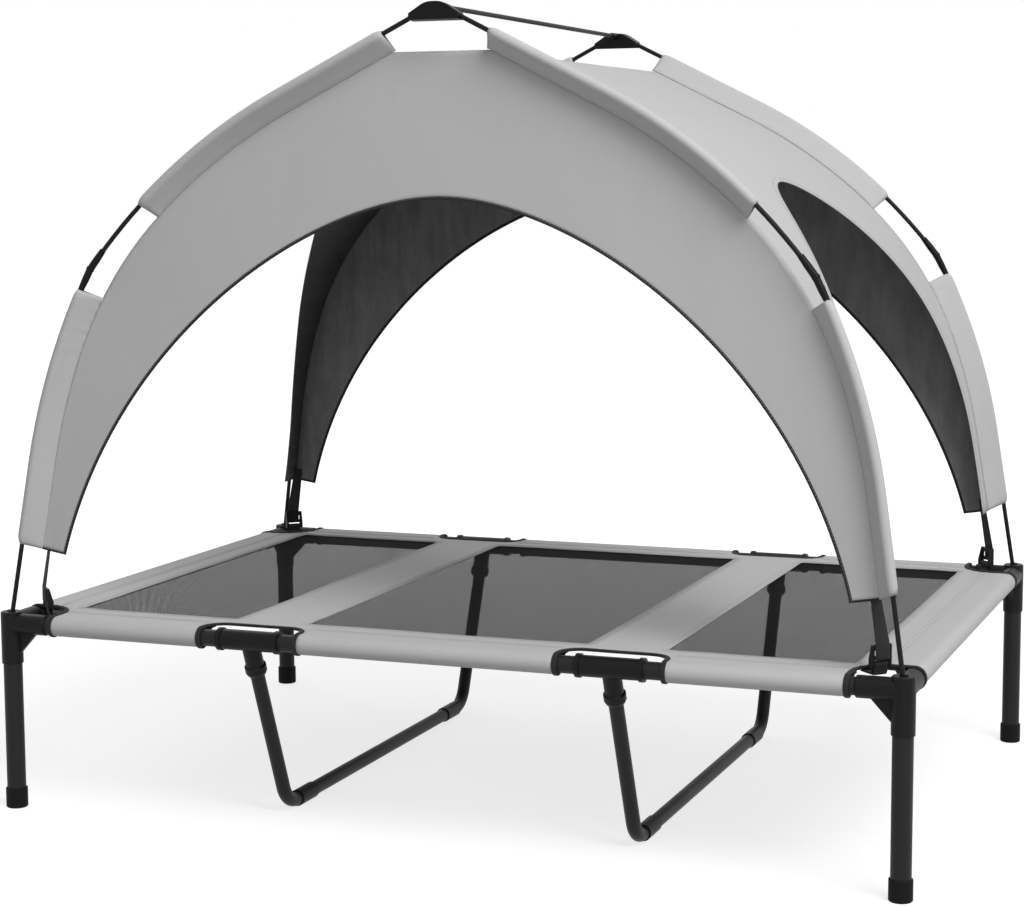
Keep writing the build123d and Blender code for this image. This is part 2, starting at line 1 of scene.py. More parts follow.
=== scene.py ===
# Raised dog cot with a lift-off canopy: cloth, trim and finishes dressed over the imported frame.
# Metres. +Z is up, +X runs along the long side, the front faces -Y and the floor is at zero.
import math

import bmesh
import bpy
from bpy.props import FloatProperty, FloatVectorProperty, PointerProperty
from mathutils import Matrix, Vector, noise
from mathutils.geometry import delaunay_2d_cdt


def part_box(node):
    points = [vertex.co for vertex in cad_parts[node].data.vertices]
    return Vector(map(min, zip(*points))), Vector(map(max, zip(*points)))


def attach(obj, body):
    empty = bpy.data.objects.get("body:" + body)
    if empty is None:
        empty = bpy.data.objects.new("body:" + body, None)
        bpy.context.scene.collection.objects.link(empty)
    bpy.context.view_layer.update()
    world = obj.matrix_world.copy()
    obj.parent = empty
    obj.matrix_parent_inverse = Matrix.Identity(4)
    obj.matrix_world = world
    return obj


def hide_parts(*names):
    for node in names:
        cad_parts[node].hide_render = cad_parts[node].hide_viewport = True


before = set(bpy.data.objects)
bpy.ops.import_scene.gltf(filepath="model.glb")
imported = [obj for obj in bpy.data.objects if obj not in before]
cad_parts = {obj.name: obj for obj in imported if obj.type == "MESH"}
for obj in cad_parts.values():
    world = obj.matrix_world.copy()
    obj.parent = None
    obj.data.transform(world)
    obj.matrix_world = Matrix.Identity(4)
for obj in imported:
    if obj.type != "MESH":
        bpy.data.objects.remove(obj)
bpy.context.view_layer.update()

bl_info = {
    "name": "Canopy dog cot",
    "version": (1, 0, 0),
    "blender": (4, 5, 0),
    "location": "View3D > Sidebar > Dog cot",
    "description": "Dresses a raised dog cot's frame with its cover, canopy, trim, finishes and stage",
    "category": "Object",
}


# Places read from the frame

def middle(node):
    low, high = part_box(node)
    return (low + high) / 2


LEG_X = middle("corner_leg_front_right").x
LEG_Y = -middle("corner_leg_front_right").y
RAIL_HEIGHT = middle("front_rail_middle").z
TEE_X = middle("tee_connector_front_right").x
SHEET_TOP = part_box("bed_cover")[1].z
POLE_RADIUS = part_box("ridge_rod")[1].z - middle("ridge_rod").z
STRAP_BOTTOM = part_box("canopy_straps")[0].z
TAB_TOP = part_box("anchor_tabs")[1].z
BUCKLE_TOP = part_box("strap_buckle_front_right")[1].z
UP = Vector((0.0, 0.0, 1.0))
# The four corners, as signs that turn the front right one over
CORNERS = ((1, 1), (-1, 1), (1, -1), (-1, -1))


# Sizes and colours that a user would change

def length(name, description, default):
    return FloatProperty(name=name, description=description, default=default, min=0.0, unit="LENGTH")


def angle(name, description, degrees):
    return FloatProperty(name=name, description=description, default=math.radians(degrees), unit="ROTATION")


def share(name, description, default):
    return FloatProperty(name=name, description=description, default=default, min=0.0, max=1.0,
                         subtype="FACTOR")


def colour(name, description, default):
    return FloatVectorProperty(name=name, description=description, default=default, size=3, min=0.0, max=1.0,
                               subtype="COLOR")


def power(name, description, default):
    return FloatProperty(name=name, description=description, default=default, min=0.0, unit="POWER")


class DOGCOT_PG_cover(bpy.types.PropertyGroup):
    """Sizes of the stretched bed cover."""
    cloth: length("Cloth", "Thickness of the cover cloth", 0.0013)
    sag: length("Sag", "How far the middle of the bed hangs below the rails", 0.0008)
    corner_notch: length("Corner notch", "Reach of the corner cut-outs from the leg", 0.063)
    corner_radius: length("Corner radius", "Rounding of the corner cut-outs", 0.044)
    tee_width: length("Tee notch width", "Width of the cut-outs at the tee connectors", 0.133)
    tee_depth: length("Tee notch depth", "Depth of the cut-outs in from the rail", 0.030)
    tee_radius: length("Tee notch radius", "Rounding of the tee cut-outs", 0.024)
    end_margin: length("End margin", "Cloth between the end rails and the mesh", 0.069)
    side_margin: length("Side margin", "Cloth between the long rails and the mesh", 0.066)
    strip: length("Cross strip", "Width of the cloth strips between the mesh windows", 0.102)
    window_radius: length("Window radius", "Rounding of the mesh windows", 0.006)
    seam_lap: length("Seam lap", "Cloth that laps at the sewn edges", 0.012)
    binding: length("Binding", "Width of the tape on the cut-outs", 0.0062)
    binding_thickness: length("Binding thickness", "Thickness of the folded tape", 0.0036)


class DOGCOT_PG_canopy(bpy.types.PropertyGroup):
    """Sizes of the canopy's arches and cloth."""
    cloth: length("Cloth", "Thickness of the canopy cloth", 0.0010)
    foot: length("Foot height", "Height of the pole feet", 0.255)
    knee_inset: length("Knee inset", "How far the knees stand in from the legs", 0.115)
    knee: length("Knee height", "Height of the pole knees", 0.717)
    hub_half: length("Hub half width", "Where the poles meet the hub", 0.033)
    hub: length("Hub height", "Height of the pole hubs", 1.027)
    lean_in: length("Lean", "How far each arch leans in at the hub", 0.053)
    lower_straight: length("Lower straight", "Straight run of the lower poles above their feet", 0.210)
    lower_turn: angle("Lower turn", "How far the lower poles then bend", 18.7)
    upper_straight: length("Upper straight", "Straight run of the upper poles below the hub", 0.204)
    upper_turn: angle("Upper turn", "How far the upper poles then bend", 26.2)
    seam: length("Seam inset", "Distance of the cloth's seam inside the pole, both ways", 0.020)
    knee_round: length("Knee rounding", "Radius of the cloth's seam past the knee", 0.480)
    crown: length("Crown half width", "Half the straight stretch under the hub", 0.066)
    hem: length("Hem height", "Height of the cloth's lower edge", 0.3465)
    door_top: length("Doorway top", "Height of the doorway's crown", 0.807)
    door_crown: length("Doorway crown", "Reach of the crown's curve", 0.173)
    door_foot: length("Doorway foot", "Reach of the foot's curve", 0.300)
    door_tilt: angle("Doorway tilt", "Lean of the doorway's edge at the hem", 14.3)
    tip: length("Tip width", "Width of the panel at the hem", 0.0345)
    side_top: length("Side opening top", "Height of the side openings", 0.827)
    side_crown: length("Side crown", "Reach of the side opening's crown curve", 0.150)
    side_strip: length("Side strip", "Cloth between the side openings and the seam at the hem", 0.040)
    side_out: length("Side shoulder", "How far the side opening's shoulder swells", 0.007)
    side_rise: length("Side shoulder rise", "Height of that swelling above the hem", 0.295)
    roof_sag: length("Roof sag", "How far the roof hangs in between the arches", 0.0015)
    ripple: length("Ripple", "Depth of the soft ripples in the cloth", 0.0016)
    binding: length("Binding", "Width of the doorway tape", 0.0043)
    binding_thickness: length("Binding thickness", "Thickness of the folded tape", 0.0026)
    tip_binding: length("Tip binding", "Width of the tape on the tips of the panels", 0.0030)
    lower_bare: length("Lower bare pole", "Bare pole under the knee", 0.030)
    upper_bare: length("Upper bare pole", "Bare pole over the knee", 0.111)
    sleeve: length("Sleeve room", "How far the sleeve stands off the pole", 0.0037)
    sleeve_slant: length("Sleeve slant", "Rise of the sleeve's end from the seam out to the pole", 0.005)
    tip_drop: length("Tip drop", "How far the panel's tip hangs lower at the doorway", 0.0055)
    strap: length("Strap width", "Width of the corner straps and of the buckles' tabs", 0.0195)
    strap_gather: length("Gathered strap", "Width of each strap where it is sewn into the canopy", 0.015)
    strap_sewn: length("Sewn strap", "Length of each strap that is sewn up inside the canopy's corner", 0.016)


class DOGCOT_PG_finish(bpy.types.PropertyGroup):
    """Colours and thread sizes of the finishes."""
    cloth: colour("Cloth", "Outside of the grey cloth", (0.56, 0.56, 0.565))
    # Lining: the same dark coating as the roof lining, painted lighter on the panels to stand in for light
    # that the canopy's inside lacks
    lining: colour("Lining", "Dark coating on the inside of the panels", (0.21, 0.21, 0.213))
    roof_lining: colour("Roof lining", "Darker coating on the inside of the roof and the cover",
                        (0.055, 0.055, 0.056))
    mesh: colour("Mesh", "Threads of the bed's mesh", (0.006, 0.006, 0.0065))
    mesh_open: share("Mesh opening", "Share of the mesh's pitch that a hole takes", 0.38)
    mesh_pitch: length("Mesh pitch", "Spacing of the mesh's holes", 0.0018)
    tape: colour("Tape", "Binding tape and webbing", (0.012, 0.012, 0.013))
    thread: colour("Thread", "Sewing thread on the doorway tape", (0.17, 0.17, 0.175))
    steel: colour("Steel", "Powder coat on the tubes", (0.018, 0.018, 0.019))
    plastic: colour("Plastic", "Moulded connectors", (0.009, 0.009, 0.0095))
    rubber: colour("Rubber", "Foot caps", (0.008, 0.008, 0.008))
    pole: colour("Pole", "Canopy poles", (0.010, 0.010, 0.0105))
    yarn: length("Yarn", "Spacing of the cloth's yarns", 0.0007)


class DOGCOT_PG_stage(bpy.types.PropertyGroup):
    """Camera and light."""
    camera: FloatVectorProperty(name="Camera", description="Place of the camera", subtype="XYZ",
                                unit="LENGTH", default=(1.10229, -2.97871, 0.83437))
    turn: angle("Turn", "How far the camera is turned to the left of straight on", 20.9443)
    tilt: angle("Tilt", "How far the camera looks down", 6.8485)
    roll: angle("Roll", "Roll of the camera", -0.2946)
    lens: FloatProperty(name="Lens", description="Focal length", default=81.08, min=1.0, unit="CAMERA")
    floor: colour("Floor", "Pale floor", (0.42, 0.42, 0.42))
    glow: share("Floor glow", "How far the floor under the cot shows paler than its light", 0.76)
    key: power("Key", "Broad light high at the front right", 118.0)
    fill: power("Fill", "Low soft light at the front", 7.0)
    back: power("Back", "Soft light high behind on the left", 16.0)
    sky: share("Sky", "Even light all round", 0.35)


class DOGCOT_PG_settings(bpy.types.PropertyGroup):
    """Everything that can be set."""
    cover: PointerProperty(type=DOGCOT_PG_cover)
    canopy: PointerProperty(type=DOGCOT_PG_canopy)
    finish: PointerProperty(type=DOGCOT_PG_finish)
    stage: PointerProperty(type=DOGCOT_PG_stage)


def settings():
    return bpy.context.scene.dog_cot


# Building shapes

# Points closer together than this are one point
WELD = 1e-6
# How square an oval section is: one for an ellipse, zero for a rectangle
OVAL_ROUNDNESS = 0.55


def spaced(start, end, steps):
    return [start + (end - start) * i / steps for i in range(steps + 1)]


def clamped(value):
    """A value kept between zero and one."""
    return min(1.0, max(0.0, value))


def compass(turn):
    """Flat direction at an angle."""
    return Vector((math.cos(turn), math.sin(turn)))


def run_at(line, i):
    """Way that a line runs at one of its points, from the point before to the point after."""
    return line[min(i + 1, len(line) - 1)] - line[max(i - 1, 0)]


def bezier(points, t):
    """Point of a cubic curve."""
    a, b, c, d = (Vector(p) for p in points)
    s = 1 - t
    return a * s ** 3 + b * 3 * s * s * t + c * 3 * s * t * t + d * t ** 3


def run_lengths(points):
    """Length along a line at each of its points."""
    total = [0.0]
    for before, after in zip(points, points[1:]):
        total.append(total[-1] + (after - before).length)
    return total


def stretches(total, wants):
    """Each wanted distance along a line, with the number of the stretch that it lies in."""
    place = 0
    for want in wants:
        while place < len(total) - 2 and total[place + 1] < want:
            place += 1
        yield place, want


def evenly(points, steps):
    """The same line with points at even distances."""
    total = run_lengths(points)
    made = []
    for place, want in stretches(total, spaced(0.0, total[-1], steps)):
        span = total[place + 1] - total[place]
        made.append(points[place].lerp(points[place + 1], min(1.0, (want - total[place]) / span)))
    return made


def linked(name, data):
    """An object in the scene."""
    made = bpy.data.objects.new(name, data)
    bpy.context.scene.collection.objects.link(made)
    return made


class Shape:
    """Points, faces, flat cloth coordinates and finish numbers of a piece while it is built."""

    def __init__(self):
        self.points = []
        self.faces = []
        self.flat = []
        self.finish = []

    def add(self, points, faces, flat, finish=0):
        base = len(self.points)
        self.points.extend(points)
        self.faces.extend([tuple(base + i for i in face) for face in faces])
        self.flat.extend(flat)
        self.finish.extend([finish] * len(faces))

    def grid(self, rows, flat_rows, outward, finish=0):
        """Sheet of quads whose face looks the outward way."""
        width = len(rows[0])
        points = [p for row in rows for p in row]
        marks = [p for row in flat_rows for p in row]
        faces = []
        for i in range(len(rows) - 1):
            for j in range(width - 1):
                corner = i * width + j
                faces.append((corner, corner + 1, corner + width + 1, corner + width))
        facing = Vector()
        for face in faces:
            a, b, c, d = (points[i] for i in face)
            facing += (c - a).cross(d - b)
        if facing.dot(outward) < 0:
            faces = [face[::-1] for face in faces]
        self.add(points, faces, [[marks[i] for i in face] for face in faces], finish)

    def sweep(self, frames, section, closed=True, caps=True, finish=0):
        """Section of (side, up) points, or one for each frame, carried along frames of (point, side, up)."""
        sections = section if len(section[0]) > 2 else [section] * len(frames)
        section = sections[0]
        count = len(section)
        along = run_lengths([point for point, side, up in frames])
        around = run_lengths([Vector(s) for s in section] + ([Vector(section[0])] if closed else []))
        points = []
        for (point, side, up), drawn in zip(frames, sections):
            points.extend(point + side * s + up * u for s, u in drawn)
        faces = []
        flat = []
        for i in range(len(frames) - 1):
            for j in range(count if closed else count - 1):
                k = (j + 1) % count
                faces.append((i * count + j, i * count + k, (i + 1) * count + k, (i + 1) * count + j))
                flat.append([(along[i], around[j]), (along[i], around[j + 1]),
                             (along[i + 1], around[j + 1]), (along[i + 1], around[j])])
        if caps and closed:
            last = (len(frames) - 1) * count
            faces.append(tuple(reversed(range(count))))
            faces.append(tuple(last + j for j in range(count)))
            marks = [tuple(s) for s in section]
            flat.append(marks[::-1])
            flat.append(marks)
        self.add(points, faces, flat, finish)

    def mirrored(self, across, along):
        """Copy turned over with signs of plus or minus one."""
        copy = Shape()
        copy.points = [Vector((p.x * across, p.y * along, p.z)) for p in self.points]
        odd = across * along < 0
        copy.faces = [face[::-1] if odd else face for face in self.faces]
        copy.flat = [marks[::-1] if odd else marks for marks in self.flat]
        copy.finish = list(self.finish)
        return copy

    def join(self, other):
        base = len(self.points)
        self.points.extend(other.points)
        self.faces.extend([tuple(base + i for i in face) for face in other.faces])
        self.flat.extend(other.flat)
        self.finish.extend(other.finish)
        return self

    def at_corners(self):
        """Copies of what stands at the front right corner, one at each corner."""
        every = Shape()
        for across, along in CORNERS:
            every.join(self.mirrored(across, along))
        return every

    def flat_area(self):
        """Area of the cloth before it was sewn up."""
        total = 0.0
        for marks in self.flat:
            for (ax, ay), (bx, by) in zip(marks, marks[1:] + marks[:1]):
                total += (ax * by - bx * ay) / 2
        return abs(total)

    def piece(self, name, body, slot, finishes, nodes=(), solid=False):
        """The finished object, riding on its body."""
        mesh = bpy.data.meshes.new(name)
        mesh.from_pydata(self.points, [], self.faces)
        layer = mesh.uv_layers.new(name="flat")
        layer.data.foreach_set("uv", [x for marks in self.flat for mark in marks for x in mark])
        mesh.polygons.foreach_set("material_index", self.finish)
        mesh.polygons.foreach_set("use_smooth", [True] * len(self.faces))
        build = bmesh.new()
        build.from_mesh(mesh)
        bmesh.ops.remove_doubles(build, verts=build.verts, dist=WELD)
        if solid:
            bmesh.ops.recalc_face_normals(build, faces=build.faces)
        build.to_mesh(mesh)
        build.free()
        for finish in finishes:
            mesh.materials.append(finish)
        made = linked(name, mesh)
        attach(made, body)
        if nodes:
            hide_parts(*nodes)
        return made


def thicken(piece, thickness, offset, inside=1):
    """Gives a sheet its thickness, with another finish on its back."""
    solid = piece.modifiers.new("thickness", "SOLIDIFY")
    solid.thickness = thickness
    solid.offset = offset
    solid.material_offset = inside
    solid.use_even_offset = True


def oval(width, height, count, start=0.0):
    """Rounded flat section, from start to start + width on its side axis."""
    made = []
    for i in range(count):
        side, up = (math.copysign(abs(reach) ** OVAL_ROUNDNESS, reach)
                    for reach in (math.cos(2 * math.pi * i / count), math.sin(2 * math.pi * i / count)))
        made.append((start + width / 2 + side * width / 2, up * height / 2))
    return made


STITCH_PITCH = 0.0046
STITCH_LENGTH = 0.0034
STITCH_WIDTH = 0.0009
STITCH_HEIGHT = 0.0005
# The arch of a stitch, as shares of its length and its height
STITCH_ARCH = ((-0.5, -0.4), (-0.2, 0.35), (0.2, 0.35), (0.5, -0.4))


def sew(shape, line, ups):
    """Row of raised stitches along a line, each a small arched bead of thread."""
    total = run_lengths(line)
    count = max(1, int(total[-1] / STITCH_PITCH))
    half = STITCH_WIDTH / 2
    bead = [(-half, 0), (0, -STITCH_HEIGHT), (half, 0), (0, STITCH_HEIGHT)]
    for place, want in stretches(total, [(n + 0.5) * total[-1] / count for n in range(count)]):
        along = (line[place + 1] - line[place]).normalized()
        centre = line[place] + along * (want - total[place])
        up = ups[place]
        side = along.cross(up).normalized()
        shape.sweep([(centre + along * (reach * STITCH_LENGTH) + up * (lift * STITCH_HEIGHT), side, up)
                     for reach, lift in STITCH_ARCH], bead)


# Finishes

class Wiring:
    """Short ways to add nodes to a material or to the world."""

    def __init__(self, owner):
        owner.use_nodes = True
        self.nodes = owner.node_tree.nodes
        self.links = owner.node_tree.links

    def node(self, kind, choices=None, **inputs):
        """A new node. An input is called by its name, or by a letter and its number."""
        made = self.nodes.new(kind)
        for key, value in (choices or {}).items():
            setattr(made, key, value)
        for key, value in inputs.items():
            target = made.inputs[int(key[1:])] if key[1:].isdigit() else made.inputs[key]
            if isinstance(value, bpy.types.NodeSocket):
                self.links.new(value, target)
            else:
                target.default_value = value
        return made

    def maths(self, operation, first, second=0.0):
        return self.node("ShaderNodeMath", {"operation": operation}, i0=first, i1=second).outputs[0]

    def plus(self, first, second):
        return self.maths("ADD", first, second)

    def times(self, first, second):
        return self.maths("MULTIPLY", first, second)

    def wave(self, place, spacing):
        """Sine along a place, which is zero at each spacing."""
        return self.maths("SINE", self.times(place, math.pi / spacing))

    def ranged(self, value, low, high, start=0.0, end=1.0, kind="LINEAR"):
        """A value from start to end, spread between low and high."""
        ends = {"From Min": start, "From Max": end, "To Min": low, "To Max": high}
        made = self.node("ShaderNodeMapRange", {"interpolation_type": kind}, Value=value, **ends)
        return made.outputs["Result"]

    def seen(self):
        """One where the camera, a reflection or a see-through surface looks, and zero for other light."""
        path = self.node("ShaderNodeLightPath")
        found = path.outputs["Is Camera Ray"]
        for ray in ("Is Glossy Ray", "Is Transmission Ray"):
            found = self.maths("MAXIMUM", found, path.outputs[ray])
        return found


class Finish(Wiring):
    """A material, with short ways to change its colour, roughness and relief."""

    def __init__(self, name, colour_value, roughness):
        self.material = bpy.data.materials.new(name)
        super().__init__(self.material)
        self.shader = self.nodes["Principled BSDF"]
        self.colour = (*colour_value, 1.0)
        self.material.diffuse_color = self.colour
        self.set("Base Color", self.colour)
        self.set("Roughness", roughness)

    def set(self, socket, value):
        self.shader.inputs[socket].default_value = value

    def drive(self, socket, value):
        self.links.new(value, self.shader.inputs[socket])

    def cloth_place(self):
        """Flat cloth coordinates in metres, whole and as two numbers."""
        flat = self.node("ShaderNodeUVMap", {"uv_map": "flat"}).outputs["UV"]
        parts = self.node("ShaderNodeSeparateXYZ", Vector=flat)
        return flat, parts.outputs["X"], parts.outputs["Y"]

    def solid_place(self):
        return self.node("ShaderNodeTexCoord").outputs["Object"]

    def cloud(self, place, scale, detail, stretch=(1, 1, 1)):
        """Soft noise at a scale per metre."""
        spread = self.node("ShaderNodeMapping", Vector=place, Scale=stretch)
        made = self.node("ShaderNodeTexNoise", Vector=spread.outputs["Vector"], Scale=scale, Detail=detail)
        return made.outputs["Fac"]

    def shade(self, amount):
        """Multiplies the colour by a value."""
        tint = self.node("ShaderNodeVectorMath", {"operation": "SCALE"}, i0=self.colour[:3], Scale=amount)
        self.drive("Base Color", tint.outputs["Vector"])

    def raise_by(self, height, distance, strength):
        """Bump from a height of zero to one."""
        bump = self.node("ShaderNodeBump", Height=height, Strength=strength, Distance=distance)
        self.drive("Normal", bump.outputs["Normal"])

    def rough_from(self, value, low, high):
        self.drive("Roughness", self.ranged(value, low, high))


def weave_height(finish, yarn):
    """Plain weave: small domes where warp and weft pass over each other in turn."""
    dome_power = 0.6
    flat, u, v = finish.cloth_place()
    crossing = finish.times(finish.wave(u, yarn), finish.wave(v, yarn))
    dome = finish.maths("POWER", finish.maths("ABSOLUTE", crossing), dome_power)
    return flat, crossing, dome


def woven_cloth(name, colour_value, yarn, roughness, sheen, shine):
    """Coated polyester cloth with slubs, a fine weave and a faint unevenness."""
    base_tone, weave_tone = 0.045, 0.03
    rough_spread = 0.06
    finish = Finish(name, colour_value, roughness)
    flat, crossing, dome = weave_height(finish, yarn)
    long_slub = finish.cloud(flat, scale=60.0, detail=2.0, stretch=(0.35, 22.0, 1.0))
    cross_slub = finish.cloud(flat, scale=60.0, detail=2.0, stretch=(22.0, 0.35, 1.0))
    patch = finish.cloud(flat, scale=5.0, detail=4.0)
    slubs = finish.plus(long_slub, cross_slub)
    tone = finish.plus(finish.ranged(slubs, 0.86, 0.99), finish.ranged(patch, -0.03, 0.03))
    tone = finish.plus(tone, finish.times(crossing, weave_tone))
    finish.shade(finish.plus(tone, base_tone))
    height = finish.plus(finish.times(dome, 0.5), finish.times(slubs, 0.5))
    finish.raise_by(height, distance=yarn * 0.18, strength=0.55)
    finish.rough_from(patch, roughness - rough_spread, roughness + rough_spread)
    finish.set("Sheen Weight", sheen)
    finish.set("Sheen Roughness", 0.45)
    finish.set("Specular IOR Level", shine)
    return finish.material


def coated_lining(name, colour_value, yarn):
    """Dark coating on the cloth's back, a little glossier, with fine creases whose shade and highlights are
    painted into its colour.
    """
    weave_share = 0.03
    finish = Finish(name, colour_value, roughness=0.6)
    flat, crossing, dome = weave_height(finish, yarn)
    crease_and_shade = finish.cloud(flat, scale=12.0, detail=5.0, stretch=(4.0, 1.0, 1.0))
    fine = finish.cloud(flat, scale=40.0, detail=4.0, stretch=(2.5, 1.0, 1.0))
    # Painted shade and highlight: the colour darkens and lightens along the creases
    finish.shade(finish.plus(finish.ranged(crease_and_shade, 0.4, 1.6), finish.ranged(fine, -0.15, 0.15)))
    finish.raise_by(finish.plus(crease_and_shade, finish.times(dome, weave_share)), distance=0.006, strength=0.6)
    finish.rough_from(crease_and_shade, 0.5, 0.72)
    finish.set("Specular IOR Level", 0.35)
    return finish.material


def open_mesh(name, colour_value, pitch, opening):
    """Knitted mesh: rows of round holes, each row set half a pitch along."""
    row_pitch = math.sqrt(3) / 2
    soft_edge = 0.03
    finish = Finish(name, colour_value, roughness=0.9)
    flat, u, v = finish.cloth_place()
    row = finish.maths("DIVIDE", v, pitch * row_pitch)
    shift = finish.times(finish.maths("FLOORED_MODULO", finish.maths("FLOOR", row), 2.0), 0.5)
    along = finish.plus(finish.maths("DIVIDE", u, pitch), shift)
    across = finish.maths("SUBTRACT", finish.maths("FRACT", along), 0.5)
    up = finish.times(finish.maths("SUBTRACT", finish.maths("FRACT", row), 0.5), row_pitch)
    away = finish.maths("SQRT", finish.plus(finish.times(across, across), finish.times(up, up)))
    finish.drive("Alpha", finish.ranged(away, 0.0, 1.0, opening / 2 - soft_edge, opening / 2 + soft_edge,
                                        "SMOOTHSTEP"))
    finish.shade(finish.ranged(finish.cloud(flat, scale=300.0, detail=2.0), 0.7, 1.3))
    finish.raise_by(away, distance=0.0004, strength=0.12)
    finish.set("Specular IOR Level", 0.04)
    return finish.material


def ribbed_tape(name, colour_value, rib, roughness):
    """Woven tape with close ribs across it, its colour darker in the grooves and lighter on the rib tops, and
    a dusty tone.
    """
    rib_share, row_share = 0.7, 0.3
    finish = Finish(name, colour_value, roughness)
    flat, u, v = finish.cloth_place()
    ribs = finish.maths("ABSOLUTE", finish.wave(u, rib))
    rows = finish.maths("ABSOLUTE", finish.wave(v, 2 * rib))
    height = finish.plus(finish.times(ribs, rib_share), finish.times(rows, row_share))
    dust = finish.cloud(flat, scale=120.0, detail=3.0)
    finish.shade(finish.plus(finish.ranged(height, 0.6, 1.35), finish.ranged(dust, -0.15, 0.15)))
    finish.raise_by(height, distance=rib * 0.35, strength=0.8)
    finish.set("Sheen Weight", 0.06)
    finish.set("Specular IOR Level", 0.3)
    return finish.material


def sewing_thread(name, colour_value):
    """Twisted thread, with its twist at a slant."""
    ply = 0.0003
    finish = Finish(name, colour_value, roughness=0.6)
    flat, u, v = finish.cloth_place()
    twist = finish.wave(finish.plus(u, v), ply)
    finish.shade(finish.ranged(twist, 0.8, 1.1))
    finish.raise_by(twist, distance=0.0001, strength=0.5)
    return finish.material


def powder_coat(name, colour_value):
    """Fine-textured coat on steel, with an even satin and a few rubbed patches."""
    finish = Finish(name, colour_value, roughness=0.46)
    place = finish.solid_place()
    grain = finish.cloud(place, scale=1400.0, detail=2.0)
    patch = finish.cloud(place, scale=14.0, detail=5.0)
    finish.shade(finish.plus(finish.ranged(patch, 0.82, 1.2), finish.ranged(grain, -0.06, 0.06)))
    finish.raise_by(grain, distance=0.00025, strength=0.35)
    finish.rough_from(patch, 0.38, 0.54)
    finish.set("Specular IOR Level", 0.18)
    return finish.material


def moulded_plastic(name, colour_value, roughness, grain_scale):
    """Spark-textured moulding."""
    rough_spread = 0.07
    finish = Finish(name, colour_value, roughness)
    place = finish.solid_place()
    grain = finish.cloud(place, scale=grain_scale, detail=3.0)
    patch = finish.cloud(place, scale=30.0, detail=4.0)
    finish.shade(finish.plus(finish.ranged(patch, 0.86, 1.14), finish.ranged(grain, -0.08, 0.08)))
    finish.raise_by(grain, distance=0.0003, strength=0.4)
    finish.rough_from(patch, roughness - rough_spread, roughness + rough_spread)
    finish.set("Specular IOR Level", 0.14)
    return finish.material


def drawn_rod(name, colour_value):
    """Smooth rod with faint lines along its length."""
    finish = Finish(name, colour_value, roughness=0.34)
    lines = finish.cloud(finish.solid_place(), scale=160.0, detail=3.0, stretch=(1.0, 1.0, 0.05))
    finish.shade(finish.ranged(lines, 0.8, 1.25))
    finish.raise_by(lines, distance=0.0002, strength=0.25)
    finish.rough_from(lines, 0.38, 0.52)
    finish.set("Specular IOR Level", 0.14)
    return finish.material


def scaled(colour_value, factor):
    """A colour made brighter or darker."""
    return [level * factor for level in colour_value]


def finish_named(name):
    """A finish, made the first time it is asked for."""
    found = bpy.data.materials.get(name)
    if found:
        return found
    colours = settings().finish
    cover_yarn = colours.yarn * 1.4
    webbing = scaled(colours.tape, 1.9)
    thread = scaled(colours.cloth, 0.95)
    hub = scaled(colours.plastic, 0.6)
    makers = {
        "canopy_cloth": lambda: woven_cloth(name, colours.cloth, colours.yarn, roughness=0.72, sheen=0.12,
                                            shine=0.25),
        "cover_cloth": lambda: woven_cloth(name, colours.cloth, cover_yarn, roughness=0.66, sheen=0.10,
                                           shine=0.30),
        # The panels' lining is painted lighter than the roof's: painted light
        "panel_lining": lambda: coated_lining(name, colours.lining, colours.yarn),
        "dark_lining": lambda: coated_lining(name, colours.roof_lining, colours.yarn),
        "bed_mesh": lambda: open_mesh(name, colours.mesh, colours.mesh_pitch, colours.mesh_open),
        "binding_tape": lambda: ribbed_tape(name, colours.tape, rib=0.0011, roughness=0.7),
        "strap_webbing": lambda: ribbed_tape(name, webbing, rib=0.0016, roughness=0.62),
        "cloth_thread": lambda: sewing_thread(name, thread),
        "tape_thread": lambda: sewing_thread(name, colours.thread),
        "tube_coat": lambda: powder_coat(name, colours.steel),
        "connector_plastic": lambda: moulded_plastic(name, colours.plastic, roughness=0.44,
                                                     grain_scale=1800.0),
        "hub_moulding": lambda: moulded_plastic(name, hub, roughness=0.40, grain_scale=2200.0),
        "cap_rubber": lambda: moulded_plastic(name, colours.rubber, roughness=0.72, grain_scale=900.0),
        "pole_rod": lambda: drawn_rod(name, colours.pole),
    }
    return makers[name]()


# The bed cover as a flat cut, and where each point of the cut lies once it is sewn

# How far the cover goes round the rails, and from where on its outside takes the dark lining finish as
# painted shade under the rails
WRAP_ANGLE = math.radians(235.0)
PAINTED_SHADE_ANGLE = math.radians(165.0)
# Soft waves in the stretched sheet: waves per metre, depth, and the layer of noise that they come from
COVER_WAVES = ((7.0, 0.0007, 1.7), (21.0, 0.0003, 4.1))
# Distance from the rails over which the waves and pulls fade out
RAIL_FADE = 0.06
# Pulls that fan out from each corner: depth, reach, fading distance, how close they lie, and their drift
PULL_DEPTH = 0.0007
PULL_REACH = 0.3
PULL_FADE = 0.09
PULL_TURNS = 15
PULL_DRIFT = 9
# Step along the cut over which a direction is measured
EDGE_STEP = 0.0008
# Steps on the rounded corners of the cut-outs and windows
CORNER_STEPS = 24
TEE_STEPS = 14
WINDOW_STEPS = 5


